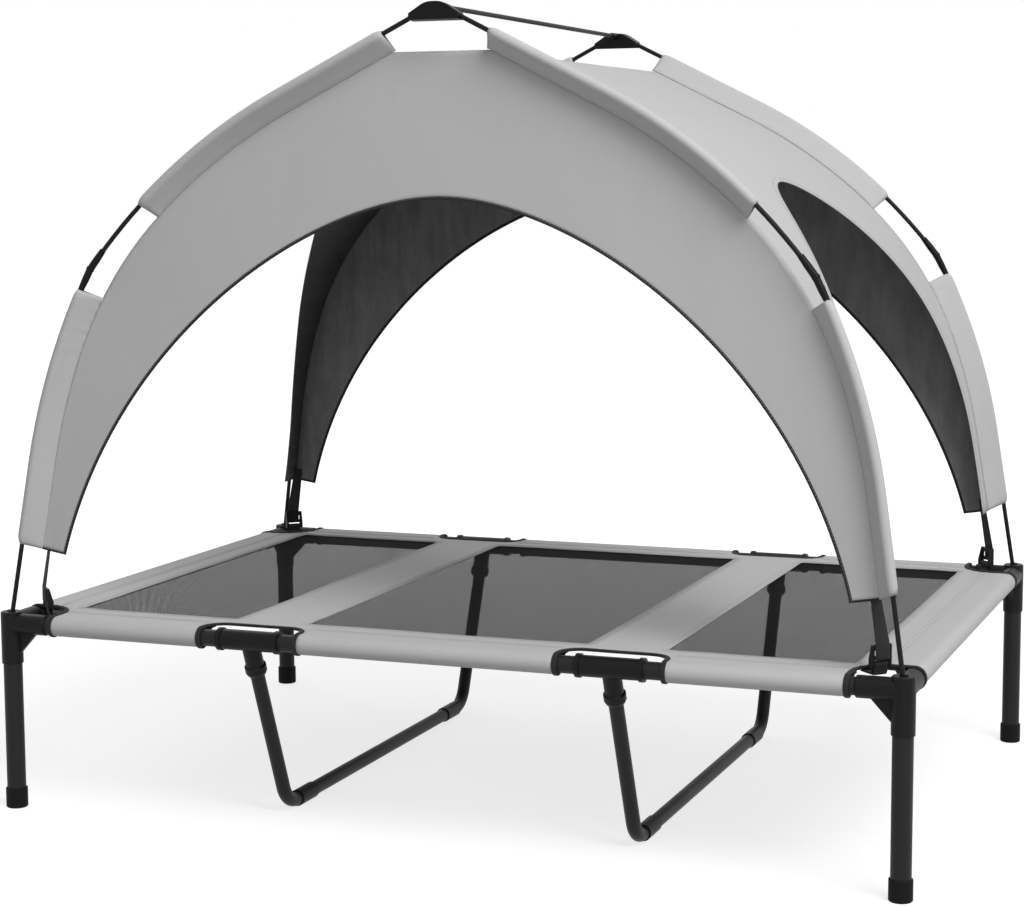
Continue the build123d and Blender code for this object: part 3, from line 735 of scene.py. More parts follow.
class CoverCut:
    """The cover's flat cut: a sheet with flaps that go round the rails and are sewn underneath."""

    def __init__(self):
        sizes = settings().cover
        self.sizes = sizes
        self.level = SHEET_TOP - sizes.cloth / 2
        self.wrap_radius = self.level - RAIL_HEIGHT
        self.arc = self.wrap_radius * WRAP_ANGLE
        under = self.level - 2 * sizes.cloth
        rise = under - RAIL_HEIGHT - self.wrap_radius * math.cos(WRAP_ANGLE)
        self.climb = rise / -math.sin(WRAP_ANGLE)
        flap = self.arc + self.climb + sizes.seam_lap
        self.front_edge = LEG_Y + flap
        self.end_edge = LEG_X + flap
        self.window_half = LEG_Y - sizes.side_margin
        outer = LEG_X - sizes.end_margin
        self.windows = {"left": (-outer, -TEE_X - sizes.strip / 2),
                        "centre": (sizes.strip / 2 - TEE_X, TEE_X - sizes.strip / 2),
                        "right": (TEE_X + sizes.strip / 2, outer)}

    def wrapped(self, over):
        """Distance out from the rail's axis and height, for a length of flap past the rail's top."""
        if over < self.arc:
            turn = over / self.wrap_radius
            return self.wrap_radius * math.sin(turn), RAIL_HEIGHT + self.wrap_radius * math.cos(turn)
        out = self.wrap_radius * math.sin(WRAP_ANGLE)
        climbed = min(over - self.arc, self.climb)
        lapped = max(0.0, over - self.arc - self.climb)
        height = RAIL_HEIGHT + self.wrap_radius * math.cos(WRAP_ANGLE) - climbed * math.sin(WRAP_ANGLE)
        return out + climbed * math.cos(WRAP_ANGLE) - lapped, height

    def dip(self, a, b):
        """How far the stretched sheet lies below the rails' tops."""
        across = 1 - (a / LEG_X) ** 2
        along = 1 - (b / LEG_Y) ** 2
        sag = self.sizes.sag * max(0.0, across) * max(0.0, along)
        ripple = sum(noise.noise(Vector((a * waves, b * waves, layer))) * depth
                     for waves, depth, layer in COVER_WAVES)
        fade = clamped((LEG_X - abs(a)) / RAIL_FADE) * clamped((LEG_Y - abs(b)) / RAIL_FADE)
        pull = 0.0
        notch = self.sizes.corner_notch / 2
        near = Vector((LEG_X - notch - abs(a), LEG_Y - notch - abs(b)))
        if near.length < PULL_REACH:
            turn = math.atan2(near.y, near.x)
            pull = PULL_DEPTH * math.sin(turn * PULL_TURNS + a * PULL_DRIFT)
            pull *= math.exp(-near.length / PULL_FADE)
        return sag + (ripple + pull) * fade

    def place(self, a, b):
        """Where a point of the flat cut lies."""
        over_end = abs(a) - LEG_X
        over_side = abs(b) - LEG_Y
        if over_side > 0:
            out, height = self.wrapped(over_side)
            return Vector((a, math.copysign(LEG_Y + out, b), height))
        if over_end > 0:
            out, height = self.wrapped(over_end)
            return Vector((math.copysign(LEG_X + out, a), b, height))
        return Vector((a, b, self.level - self.dip(a, b)))

    def frame_at(self, mark, inward):
        """Point, direction into the cloth and face direction at a point of the cut's edge."""
        point = self.place(*mark)
        side = (self.place(*(mark + inward * EDGE_STEP)) - point).normalized()
        step = Vector((-inward.y, inward.x)) * EDGE_STEP
        along = (self.place(*(mark + step)) - self.place(*(mark - step))).normalized()
        up = side.cross(along).normalized()
        return point, side, up

    def notch_gap(self, u, v, radius):
        """Distance of a point from a rounded notch's edge, positive in the cloth."""
        if u <= 0 or v <= 0:
            return max(-u, -v)
        if u < radius and v < radius:
            return math.hypot(radius - u, radius - v) - radius
        return -min(u, v)

    def margin(self, a, b):
        """Distance of a point from the nearest cut edge."""
        cut = self.sizes
        x, y = abs(a), abs(b)
        gaps = [self.notch_gap(x - LEG_X + cut.corner_notch, y - LEG_Y + cut.corner_notch, cut.corner_radius),
                self.notch_gap(cut.tee_width / 2 - abs(x - TEE_X), y - LEG_Y + cut.tee_depth, cut.tee_radius),
                self.front_edge - y, self.end_edge - x]
        for start, end in self.windows.values():
            gaps.append(max(start - a, a - end, y - self.window_half))
        return min(gaps)

    def corner_edge(self):
        """Flat line of the front right corner notch, from flap end to flap end."""
        cut = self.sizes
        inset = cut.corner_notch - cut.corner_radius
        centre = Vector((LEG_X - inset, inset - LEG_Y))
        line = [Vector((LEG_X - cut.corner_notch, -self.front_edge))]
        line += [centre + cut.corner_radius * compass(turn)
                 for turn in spaced(math.pi, math.pi / 2, CORNER_STEPS)]
        line.append(Vector((self.end_edge, cut.corner_notch - LEG_Y)))
        return line

    def tee_edge(self):
        """Flat line of the front right tee notch, from flap end to flap end."""
        cut = self.sizes
        half = cut.tee_width / 2
        deep = cut.tee_depth - LEG_Y
        line = [Vector((TEE_X - half, -self.front_edge))]
        for side, first, last in ((-1, math.pi, math.pi / 2), (1, math.pi / 2, 0.0)):
            centre = Vector((TEE_X + side * (half - cut.tee_radius), deep - cut.tee_radius))
            line += [centre + cut.tee_radius * compass(turn) for turn in spaced(first, last, TEE_STEPS)]
        line.append(Vector((TEE_X + half, -self.front_edge)))
        return line

    def window_edge(self, place, grow=0.0):
        """Closed flat line of a window."""
        start, end = self.windows[place]
        radius = self.sizes.window_radius + grow
        reach = Vector(((end - start) / 2 + grow - radius, self.window_half + grow - radius))
        line = []
        for quarter, (sx, sy) in enumerate(((1, 1), (-1, 1), (-1, -1), (1, -1))):
            centre = Vector(((start + end) / 2 + sx * reach.x, sy * reach.y))
            line += [centre + radius * compass(turn)
                     for turn in spaced(quarter * math.pi / 2, (quarter + 1) * math.pi / 2, WINDOW_STEPS)]
        return line + line[:1]


def fine_line(points, step):
    """Line with no stretch longer than a step."""
    made = [points[0]]
    for before, after in zip(points, points[1:]):
        count = max(1, math.ceil((after - before).length / step))
        made.extend(before.lerp(after, i / count) for i in range(1, count + 1))
    return made


# Spacing of the cover's points between the rails, round them and along its outline
COVER_STEP = 0.010
WRAP_STEP = 0.0026
OUTLINE_STEP = 1.5 * WRAP_STEP
# Share of the spacing that the inner points keep clear of the edges
EDGE_ROOM = 0.45
# Settings of the triangles: only those inside the outline, and how close points have to be to be one
INSIDE_ONLY = 1
SAME_POINT = 1e-7


def cover_outline(cut):
    """Closed flat outline of the cover, from its front right quarter."""
    quarter = [Vector((0.0, -cut.front_edge)), *cut.tee_edge(), *cut.corner_edge()]
    quarter.append(Vector((cut.end_edge, 0.0)))
    right = quarter + [Vector((p.x, -p.y)) for p in reversed(quarter[:-1])]
    whole = right + [Vector((-p.x, p.y)) for p in reversed(right[1:-1])]
    return fine_line(whole + whole[:1], OUTLINE_STEP)[:-1]


def cover_marks(cut):
    """Inner points of the flat cut: close rows round the rails, wider ones between them."""
    def rows(rail, edge):
        flaps = spaced(rail, edge, round((edge - rail) / WRAP_STEP))
        inner = spaced(-rail, rail, round(2 * rail / COVER_STEP))
        return [-f for f in flaps[:0:-1]] + inner + flaps[1:]
    marks = []
    for a in rows(LEG_X, cut.end_edge):
        for b in rows(LEG_Y, cut.front_edge):
            if abs(a) > LEG_X and abs(b) > LEG_Y:
                continue
            room = WRAP_STEP if abs(a) > LEG_X or abs(b) > LEG_Y else COVER_STEP
            if cut.margin(a, b) > room * EDGE_ROOM:
                marks.append(Vector((a, b)))
    return marks


def cover_shape(cut):
    """The cover's mesh: the flat cut in small triangles, then sewn round the rails."""
    loops = [cover_outline(cut)]
    for place in cut.windows:
        loops.append(fine_line(cut.window_edge(place), COVER_STEP)[:-1])
    marks = []
    edges = []
    for loop in loops:
        base = len(marks)
        marks.extend(loop)
        edges.extend((base + i, base + (i + 1) % len(loop)) for i in range(len(loop)))
    marks.extend(cover_marks(cut))
    triangles = delaunay_2d_cdt(marks, edges, [], INSIDE_ONLY, SAME_POINT)
    made, faces = triangles[0], triangles[2]
    kept = {0: [], 1: []}
    for face in faces:
        centre = sum((made[i] for i in face), Vector((0.0, 0.0))) / len(face)
        if cut.margin(centre.x, centre.y) < 0:
            continue
        over = max(abs(centre.x) - LEG_X, abs(centre.y) - LEG_Y)
        # Faces this far round the rail, under and inside its roll, take the dark lining: painted shade
        kept[1 if over > cut.wrap_radius * PAINTED_SHADE_ANGLE else 0].append(tuple(face))
    shape = Shape()
    shape.points = [cut.place(*mark) for mark in made]
    for finish, chosen in kept.items():
        shape.faces.extend(chosen)
        shape.flat.extend([[tuple(made[i]) for i in face] for face in chosen])
        shape.finish.extend([finish] * len(chosen))
    return shape


def edge_frames(cut, line, step):
    """Frames along a flat edge line whose cloth lies on its left."""
    fine = fine_line(line, step)
    frames = []
    for i, mark in enumerate(fine):
        along = run_at(fine, i).normalized()
        frames.append(cut.frame_at(mark, Vector((-along.y, along.x))))
    return frames


# The canopy's arches

# Steps along the seam's crown, poles and rounded knee, and along the doorway
CROWN_STEPS = 8
POLE_STEPS = 80
KNEE_STEPS = 16
DOOR_STEPS = 120


class Pole:
    """Right-hand pole in its arch's plane: a straight run from its outer end, then an arc up to the knee.

    Places along it are distances from the outer end. An inset moves a place towards the inside of the arch.
    """

    def __init__(self, end, knee, straight, turn, hand):
        self.end = end
        self.straight = straight
        chord = knee - end
        half_turn = turn / 2
        arc_chord = math.sqrt(chord.length ** 2 - (straight * math.sin(half_turn)) ** 2)
        arc_chord -= straight * math.cos(half_turn)
        swing = math.asin(arc_chord * math.sin(half_turn) / chord.length)
        self.run = Matrix.Rotation(hand * swing, 2) @ chord.normalized()
        self.inside = Vector((self.run.y, -self.run.x)) * hand
        self.radius = arc_chord / (2 * math.sin(half_turn))
        self.centre = end + self.run * straight + self.inside * self.radius
        self.length = straight + self.radius * turn

    def turned(self, distance):
        """How far the pole has bent at a distance."""
        return max(0.0, distance - self.straight) / self.radius

    def outward(self, distance):
        """Direction out of the arch at a distance."""
        turn = self.turned(distance)
        return self.run * math.sin(turn) - self.inside * math.cos(turn)

    def ahead(self, distance):
        """Direction along the pole at a distance, away from its outer end."""
        turn = self.turned(distance)
        return self.run * math.cos(turn) + self.inside * math.sin(turn)

    def point(self, distance, inset=0.0):
        if distance <= self.straight:
            return self.end + self.run * distance + self.inside * inset
        return self.centre + self.outward(distance) * (self.radius - inset)

    def at_x(self, x, inset=0.0):
        """Distance to the place on the straight run at an x."""
        return (x - self.end.x - self.inside.x * inset) / self.run.x

    def at_height(self, height, inset=0.0):
        """Distance to the place on the straight run at a height."""
        return (height - self.end.y - self.inside.y * inset) / self.run.y

    def facing(self, point):
        """Distance to the place on the arc that faces a point inside it."""
        away = point - self.centre
        return self.straight + self.radius * math.atan2(away.dot(self.run), -away.dot(self.inside))


class Arch:
    """Right half of the front arch. Points are (x, height up the leaning plane)."""

    def __init__(self):
        self.sizes = settings().canopy
        sizes = self.sizes
        self.lean = math.atan2(sizes.lean_in, sizes.hub - sizes.foot)
        knee = Vector((LEG_X - sizes.knee_inset, self.height(sizes.knee, 0.0)))
        hub = Vector((sizes.hub_half, self.height(sizes.hub, 0.0)))
        self.lower = Pole(Vector((LEG_X, 0.0)), knee, sizes.lower_straight, sizes.lower_turn, -1)
        self.upper = Pole(hub, knee, sizes.upper_straight, sizes.upper_turn, 1)
        self.hem = self.height(sizes.hem, sizes.seam)
        self.crown = self.upper.point(self.upper.at_x(sizes.crown, sizes.seam), sizes.seam)
        self.seam = self.seam_line()

    def height(self, level, depth):
        """Height up the leaning plane of a level over the floor."""
        return (level - self.sizes.foot + depth * math.sin(self.lean)) / math.cos(self.lean)

    def place(self, point, depth=0.0):
        """Point of the leaning plane, set in by a depth."""
        return Vector((point.x,
                       -LEG_Y + point.y * math.sin(self.lean) + depth * math.cos(self.lean),
                       self.sizes.foot + point.y * math.cos(self.lean) - depth * math.sin(self.lean)))

    def arcs_meet(self, inset):
        """Where the two arcs meet when both are drawn inset."""
        lower = self.lower.radius - inset
        upper = self.upper.radius - inset
        run = self.upper.centre - self.lower.centre
        along = (run.length ** 2 + lower ** 2 - upper ** 2) / (2 * run.length)
        aside = math.sqrt(lower ** 2 - along ** 2)
        way = run.normalized()
        return self.lower.centre + way * along + Vector((-way.y, way.x)) * aside

    def seam_line(self):
        """The seam from the middle of the crown down to the hem, rounded past the knee."""
        inset = self.sizes.seam
        bend = self.arcs_meet(self.sizes.knee_round + inset)
        upper_end = self.upper.facing(bend)
        lower_end = self.lower.facing(bend)
        upper_run = spaced(self.upper.at_x(self.sizes.crown, inset), upper_end, POLE_STEPS)
        lower_run = spaced(lower_end, self.lower.at_height(self.hem, inset), POLE_STEPS)
        first, last = self.upper.outward(upper_end), self.lower.outward(lower_end)
        line = [Vector((x, self.crown.y)) for x in spaced(0.0, self.crown.x, CROWN_STEPS)]
        line += [self.upper.point(distance, inset) for distance in upper_run[1:]]
        line += [bend + first.lerp(last, share_of_bend).normalized() * self.sizes.knee_round
                 for share_of_bend in spaced(0.0, 1.0, KNEE_STEPS)[1:]]
        line += [self.lower.point(distance, inset) for distance in lower_run[1:]]
        return line

    def seam_at(self, height):
        """Point of the seam at a height up the plane, below the crown."""
        for before, after in zip(self.seam, self.seam[1:]):
            if after.y <= height < before.y:
                return before.lerp(after, (before.y - height) / (before.y - after.y))
        return self.seam[-1]

    def door_line(self):
        """The doorway's edge from the middle of its top down to the hem."""
        sizes = self.sizes
        top = self.height(sizes.door_top, sizes.seam)
        foot = Vector((self.seam_at(self.hem).x - sizes.tip, self.hem - sizes.tip_drop))
        shoulder = foot + sizes.door_foot * Vector((-math.sin(sizes.door_tilt), math.cos(sizes.door_tilt)))
        curve = (Vector((0.0, top)), Vector((sizes.door_crown, top)), shoulder, foot)
        return [bezier(curve, t) for t in spaced(0.0, 1.0, DOOR_STEPS)]

    def face_way(self):
        """Direction that the front panel faces."""
        return Vector((0.0, -math.cos(self.lean), math.sin(self.lean)))


# Rows of an end panel from its crown to its hem, and columns from its doorway to its seam
PANEL_RUN = 130
PANEL_COLUMNS = 26
# Rows of the roof on its crown, from there to the side opening's top, and beside the opening
ROOF_CROWN_ROWS = 7
ROOF_TOP_ROWS = 30
ROOF_SIDE_ROWS = 70
ROOF_COLUMNS = 40
# Ripples in the end panels: waves per metre across and up, and their shares of the ripple's depth
LONG_WAVES = (9.0, 2.2)
LONG_SHARE = 0.7
FINE_WAVES = (30.0, 6.0)
FINE_SHARE = 0.15
# The fine ones grow by this share towards the hem, from this far above it
HEM_SHARE = 0.5
HEM_REACH = 0.30
# Layers of noise that the back panel and the fine ripples come from
BACK_LAYER = 9.0
FINE_LAYER = 3.0
# Ripples in the roof: waves per metre, share of the ripple's depth, distance over which they rise, and layer
ROOF_WAVES = 5
ROOF_SHARE = 0.5
ROOF_FADE = 0.12
ROOF_LAYER = 2.3


class CanopyCut:
    """Where each point of the canopy's cloth lies."""

    def __init__(self):
        self.arch = Arch()
        self.sizes = self.arch.sizes
        self.seam = evenly(self.arch.seam, PANEL_RUN)
        self.door = evenly(self.arch.door_line(), PANEL_RUN)

    def ripple(self, point, back):
        """Soft ripples: long ones down the cloth and a few finer pulls near the hem."""
        layer = BACK_LAYER if back else 0.0
        long_wave, fine_wave = (noise.noise(Vector((point.x * across, point.y * upward, layer + added)))
                                for (across, upward), added in ((LONG_WAVES, 0.0), (FINE_WAVES, FINE_LAYER)))
        low = max(0.0, 1 - (point.y - self.arch.hem) / HEM_REACH)
        return self.sizes.ripple * (LONG_SHARE * long_wave + (FINE_SHARE + HEM_SHARE * low) * fine_wave)

    def panel_point(self, run, across, hand, back):
        """Point of an end panel: run counts down from the crown, across from doorway to seam."""
        flat = self.door[run].lerp(self.seam[run], across)
        flat = Vector((flat.x * hand, flat.y))
        depth = self.sizes.seam + self.ripple(flat, back) * 4 * across * (1 - across)
        point = self.arch.place(flat, depth)
        if back:
            point.y = -point.y
        return point, flat

    def band_size(self):
        """Greatest width and whole length of an end panel, measured along the middle of its band."""
        spine = [door.lerp(seam, 0.5) for door, seam in zip(self.door, self.seam)]
        widest = max((seam - door).length for door, seam in zip(self.door, self.seam))
        return widest, 2 * run_lengths(spine)[-1]

    def roof_rows(self):
        """Rows of the roof's right half as (x, level, inner y), from the crown down to the hem."""
        arch, sizes = self.arch, self.sizes
        seam = [Vector((x, arch.crown.y)) for x in spaced(0.0, arch.crown.x, ROOF_CROWN_ROWS)]
        top = arch.height(sizes.side_top, sizes.seam)
        seam += [arch.seam_at(height) for height in spaced(arch.crown.y, top, ROOF_TOP_ROWS)[1:]]
        rows = [(point.x, arch.place(point, sizes.seam).z, 0.0) for point in seam]
        foot = self.seam_y(sizes.hem) - sizes.side_strip
        opening = ((0.0, sizes.side_top), (sizes.side_crown, sizes.side_top),
                   (foot + sizes.side_out, sizes.hem + sizes.side_rise), (foot, sizes.hem))
        for t in spaced(0.0, 1.0, ROOF_SIDE_ROWS)[1:]:
            edge = bezier(opening, t)
            point = arch.seam_at(arch.height(edge.y, sizes.seam))
            rows.append((point.x, edge.y, edge.x))
        return rows

    def seam_y(self, level):
        """Distance of the seam from the middle of the cot at a level."""
        return -self.arch.place(Vector((0.0, self.arch.height(level, self.sizes.seam))), self.sizes.seam).y


def roof_quarter(cut, hand, back):
    """One quarter of the roof sheet, with its free edge round the side opening."""
    sizes = cut.sizes
    way = 1 if back else -1
    rows = cut.roof_rows()
    line = [Vector((x, level)) for x, level, inner in rows]
    along = run_lengths(line)
    made = []
    marks = []
    for i, (x, level, inner) in enumerate(rows):
        run = run_at(line, i)
        inward = Vector((run.y, 0.0, -run.x)).normalized()
        reach = cut.seam_y(level)
        hang = sizes.roof_sag * clamped((level - sizes.hem) / (sizes.side_top - sizes.hem)) ** 2
        row = []
        flat_row = []
        for v in spaced(0.0, 1.0, ROOF_COLUMNS):
            y = reach + (inner - reach) * v
            wave = noise.noise(Vector((along[i] * hand * ROOF_WAVES, -y * way * ROOF_WAVES, ROOF_LAYER)))
            wave *= math.sin(math.pi / 2 * min(1.0, (reach - y) / ROOF_FADE))
            sag = hang * math.sin(math.pi / 2 * (1 - y / reach)) + sizes.ripple * ROOF_SHARE * wave
            point = Vector((x, y, level)) + inward * sag
            row.append(Vector((point.x * hand, point.y * way, point.z)))
            flat_row.append((along[i] * hand, y * way))
        made.append(row)
        marks.append(flat_row)
    shape = Shape()
    shape.grid(made, marks, Vector((hand, 0.0, 1.0)))
    return shape, made


# The sleeve's bulge beside the pole, the rounding and lap at its seam, and the length gathered at its ends
SLEEVE_SLACK = 0.0006
SLEEVE_EDGE = 0.0013
SLEEVE_SEAM_LAP = 0.0009
SLEEVE_GATHER = 0.010
# Share of the sleeve's room that stays at its gathered ends
GATHERED_SHARE = 0.3
# Length above the hem over which the end's slant fades out
SLANT_FADE = 0.06
# How far the sleeve ends short of the crown's corner
SLEEVE_CROWN_GAP = 0.004
SLEEVE_STEPS = 80
SLEEVE_ROUND_STEPS = 16
SLEEVE_TAIL_STEPS = 4
SLEEVE_SIDE_STEPS = 4


def sleeve_section(radius, seam):
    """Drop-shaped section round the pole, drawn in to the seam, as (outward, inward) points."""
    way = math.atan2(seam.y, seam.x)
    spread = math.acos((radius - SLEEVE_EDGE) / seam.length)
    section = [radius * compass(turn)
               for turn in spaced(way + spread, way + 2 * math.pi - spread, SLEEVE_ROUND_STEPS)]
    tail = [seam + SLEEVE_EDGE * compass(turn)
            for turn in spaced(way - spread, way + spread, SLEEVE_TAIL_STEPS)]
    across = Vector((math.sin(way), -math.cos(way))) * SLEEVE_SLACK
    first = []
    second = []
    for t in spaced(0.0, 1.0, SLEEVE_SIDE_STEPS)[1:-1]:
        bulge = across * math.sin(math.pi * t)
        first.append(section[-1].lerp(tail[0], t) - bulge)
        second.append(tail[-1].lerp(section[0], t) + bulge)
    return section + first + tail + second


# Operators

# Each lamp's place and the width of its disk
LAMPS = {"key": ((2.5, -1.9, 3.5), 2.4), "fill": ((1.7, -4.0, 1.0), 2.0), "back": ((-2.4, 2.4, 3.0), 2.4)}
LAMP_AIM = Vector((0.0, 0.0, 0.45))
FLOOR_REACH = 14.0
FLOOR_CELLS = 8
# Distances from the cot between which the floor's glow rises to white
GLOW_START = 0.9
GLOW_END = 2.6
WHITE = (1.0, 1.0, 1.0, 1.0)
SENSOR_MM = 36.0


class DOGCOT_OT_stage(bpy.types.Operator):
    """Floor, light and camera."""
    bl_idname = "dog_cot.stage"
    bl_label = "Stage"

    def execute(self, context):
        sizes = settings().stage
        self.floor(sizes)
        self.sky(sizes)
        for name, (place, width) in LAMPS.items():
            self.lamp(f"{name}_light", Vector(place), width, getattr(sizes, name))
        self.camera(sizes)
        context.scene.view_settings.view_transform = "Standard"
        return {"FINISHED"}

    def floor(self, sizes):
        cells = spaced(-FLOOR_REACH, FLOOR_REACH, FLOOR_CELLS)
        rows = [[Vector((x, y, 0.0)) for x in cells] for y in cells]
        shape = Shape()
        shape.grid(rows, rows, UP)
        mesh = bpy.data.meshes.new("floor")
        mesh.from_pydata(shape.points, [], shape.faces)
        linked("floor", mesh)
        paper = Finish("floor_paper", sizes.floor, roughness=0.95)
        paper.set("Specular IOR Level", 0.0)
        paper.set("Emission Color", WHITE)
        away = paper.node("ShaderNodeVectorMath", {"operation": "LENGTH"}, i0=paper.solid_place())
        glow = paper.ranged(away.outputs["Value"], sizes.glow, 1.0, GLOW_START, GLOW_END)
        paper.drive("Emission Strength", paper.times(paper.seen(), glow))
        mesh.materials.append(paper.material)

    def sky(self, sizes):
        world = bpy.data.worlds.new("studio")
        bpy.context.scene.world = world
        studio = Wiring(world)
        background = studio.nodes["Background"]
        background.inputs["Color"].default_value = WHITE
        studio.links.new(studio.ranged(studio.seen(), sizes.sky, 1.0), background.inputs["Strength"])

    def lamp(self, name, place, width, watts):
        light = bpy.data.lights.new(name, "AREA")
        light.energy = watts
        light.shape = "DISK"
        light.size = width
        lamp = linked(name, light)
        lamp.location = place
        lamp.rotation_euler = (LAMP_AIM - place).to_track_quat("-Z", "Y").to_euler()

    def camera(self, sizes):
        ahead = Vector((-math.sin(sizes.turn), math.cos(sizes.turn), 0.0))
        forward = ahead * math.cos(sizes.tilt) - UP * math.sin(sizes.tilt)
        level = Vector((math.cos(sizes.turn), math.sin(sizes.turn), 0.0))
        upright = level.cross(forward)
        right = level * math.cos(sizes.roll) + upright * math.sin(sizes.roll)
        up = upright * math.cos(sizes.roll) - level * math.sin(sizes.roll)
        data = bpy.data.cameras.new("camera")
        data.sensor_width = SENSOR_MM
        data.lens = sizes.lens
        eye = linked("camera", data)
        turned = Matrix((right, up, -forward)).transposed().to_4x4()
        eye.matrix_world = Matrix.Translation(sizes.camera) @ turned
        bpy.context.scene.camera = eye


def dress(finish, *starts):
    """Gives a finish to every frame node whose name begins one of these ways."""
    chosen = [node for name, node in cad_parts.items() if name.startswith(starts)]
    if not chosen:
        raise RuntimeError(f"no node begins with {starts}")
    for node in chosen:
        node.data.materials.clear()
        node.data.materials.append(finish_named(finish))


class DOGCOT_OT_hardware(bpy.types.Operator):
    """Finishes of the tubes, connectors, caps, poles and buckles."""
    bl_idname = "dog_cot.hardware"
    bl_label = "Hardware finishes"

    def execute(self, context):
        dress("tube_coat", "corner_leg", "front_rail", "back_rail", "end_rail", "support_leg",
              "support_crossbar")
        dress("connector_plastic", "corner_bracket", "tee_connector", "crossbar_sleeves", "strap_buckle")
        dress("hub_moulding", "pole_hub", "knee_ferrules", "pole_feet")
        dress("cap_rubber", "foot_caps")
        dress("pole_rod", "pole_lower", "pole_upper", "ridge_rod")
        return {"FINISHED"}


# How far the cut-outs' tape stands out past the cloth's edge, and its lift as a share of its thickness
CUT_TAPE_OUT = 0.0012
CUT_TAPE_LIFT = 0.16
CUT_TAPE_POINTS = 14
# Rows of stitches: distances out from the windows, in from the rails, and clear of the cut-outs
WINDOW_ROWS = (0.0035, 0.0085)
RAIL_ROWS = (0.030, 0.036)
ROW_CLEAR = 0.006
ROW_STEP = 0.004


class DOGCOT_OT_cover(bpy.types.Operator):
    """Stretched bed cover, its bindings and its stitching."""
    bl_idname = "dog_cot.cover"
    bl_label = "Bed cover"

    def execute(self, context):
        cut = CoverCut()
        shape = cover_shape(cut)
        # The lining finish is the cover's back, and also painted shade on its outside under the rails
        cloth, lining = finish_named("cover_cloth"), finish_named("dark_lining")
        cover = shape.piece("cover_cloth", "frame", "cover_fabric", [cloth, lining, lining], ["bed_cover"])
        thicken(cover, cut.sizes.cloth, 0.0)
        corner = self.binding(cut, cut.corner_edge(), "corner_binding_tape", "corner_bindings")
        tee = self.binding(cut, cut.tee_edge(), "tee_binding_tape", "tee_bindings")
        stitching = self.stitching(cut)
        shape.flat_area()
        return {"FINISHED"}

    def binding(self, cut, line, name, node):
        """Folded tape on a cut-out's edge, and on the three others like it."""
        sizes = cut.sizes
        flat = oval(sizes.binding, sizes.binding_thickness, CUT_TAPE_POINTS, -CUT_TAPE_OUT)
        section = [(side, up + sizes.binding_thickness * CUT_TAPE_LIFT) for side, up in flat]
        one = Shape()
        one.sweep(edge_frames(cut, line, WRAP_STEP), section)
        return one.at_corners().piece(name, "frame", "binding_tape", [finish_named("binding_tape")], [node],
                                      solid=True)

    def stitching(self, cut):
        """Rows round the windows, and rows along the rails between the cut-outs."""
        shape = Shape()
        for place in cut.windows:
            for grow in WINDOW_ROWS:
                self.row(shape, cut, cut.window_edge(place, grow))
        half_tee = cut.sizes.tee_width / 2 + ROW_CLEAR
        inner, outer = TEE_X - half_tee, TEE_X + half_tee
        corner = cut.sizes.corner_notch + ROW_CLEAR
        last, reach = LEG_X - corner, LEG_Y - corner
        for sign in (-1, 1):
            for gap in RAIL_ROWS:
                side, end_place = sign * (LEG_Y - gap), sign * (LEG_X - gap)
                for start, end in ((-inner, inner), (outer, last), (-last, -outer)):
                    self.row(shape, cut, [Vector((start, side)), Vector((end, side))])
                self.row(shape, cut, [Vector((end_place, -reach)), Vector((end_place, reach))])
        return shape.piece("cover_stitching", "frame", "cover_fabric", [finish_named("cloth_thread")])

    def row(self, shape, cut, line):
        """Stitches on the cover along a line of its flat cut."""
        marks = fine_line(line, ROW_STEP)
        lift = UP * (cut.sizes.cloth / 2)
        sew(shape, [cut.place(*mark) + lift for mark in marks], [UP] * len(marks))


# The mesh lies this many thicknesses of cloth below the cover
MESH_DROP = 1.2
# Steps of the mesh along the bed and across it
MESH_STEPS = (34, 56)


class DOGCOT_OT_mesh_windows(bpy.types.Operator):
    """Mesh panels sewn under the cover's windows."""
    bl_idname = "dog_cot.mesh_windows"
    bl_label = "Mesh windows"

    def execute(self, context):
        cut = CoverCut()
        lap = cut.sizes.seam_lap
        half = cut.window_half + lap
        drop = UP * (cut.sizes.cloth * MESH_DROP)
        steps_along, steps_across = MESH_STEPS
        for place, (start, end) in cut.windows.items():
            shape = Shape()
            marks = [[(a, b) for b in spaced(-half, half, steps_across)]
                     for a in spaced(start - lap, end + lap, steps_along)]
            shape.grid([[cut.place(a, b) - drop for a, b in row] for row in marks], marks, UP)
            net = shape.piece(f"mesh_window_{place}", "frame", "mesh_fabric", [finish_named("bed_mesh")],
                              [f"mesh_panel_{place}"])
        return {"FINISHED"}


# Distance of the canopy's seam stitches from the seam
SEAM_STITCH = 0.006
# The opening's turned hem: width, how far it stands out past the edge, its thicknesses of cloth below the
# outside, and the distance of its stitches from the edge
HEM_WIDTH = 0.011
HEM_OUT = 0.0004
HEM_DEPTH = 1.3
HEM_STITCH = 0.008
HEM_POINTS = 8
# A height inside the canopy, which tells the outside of the roof from the inside
INSIDE_HEIGHT = 0.3


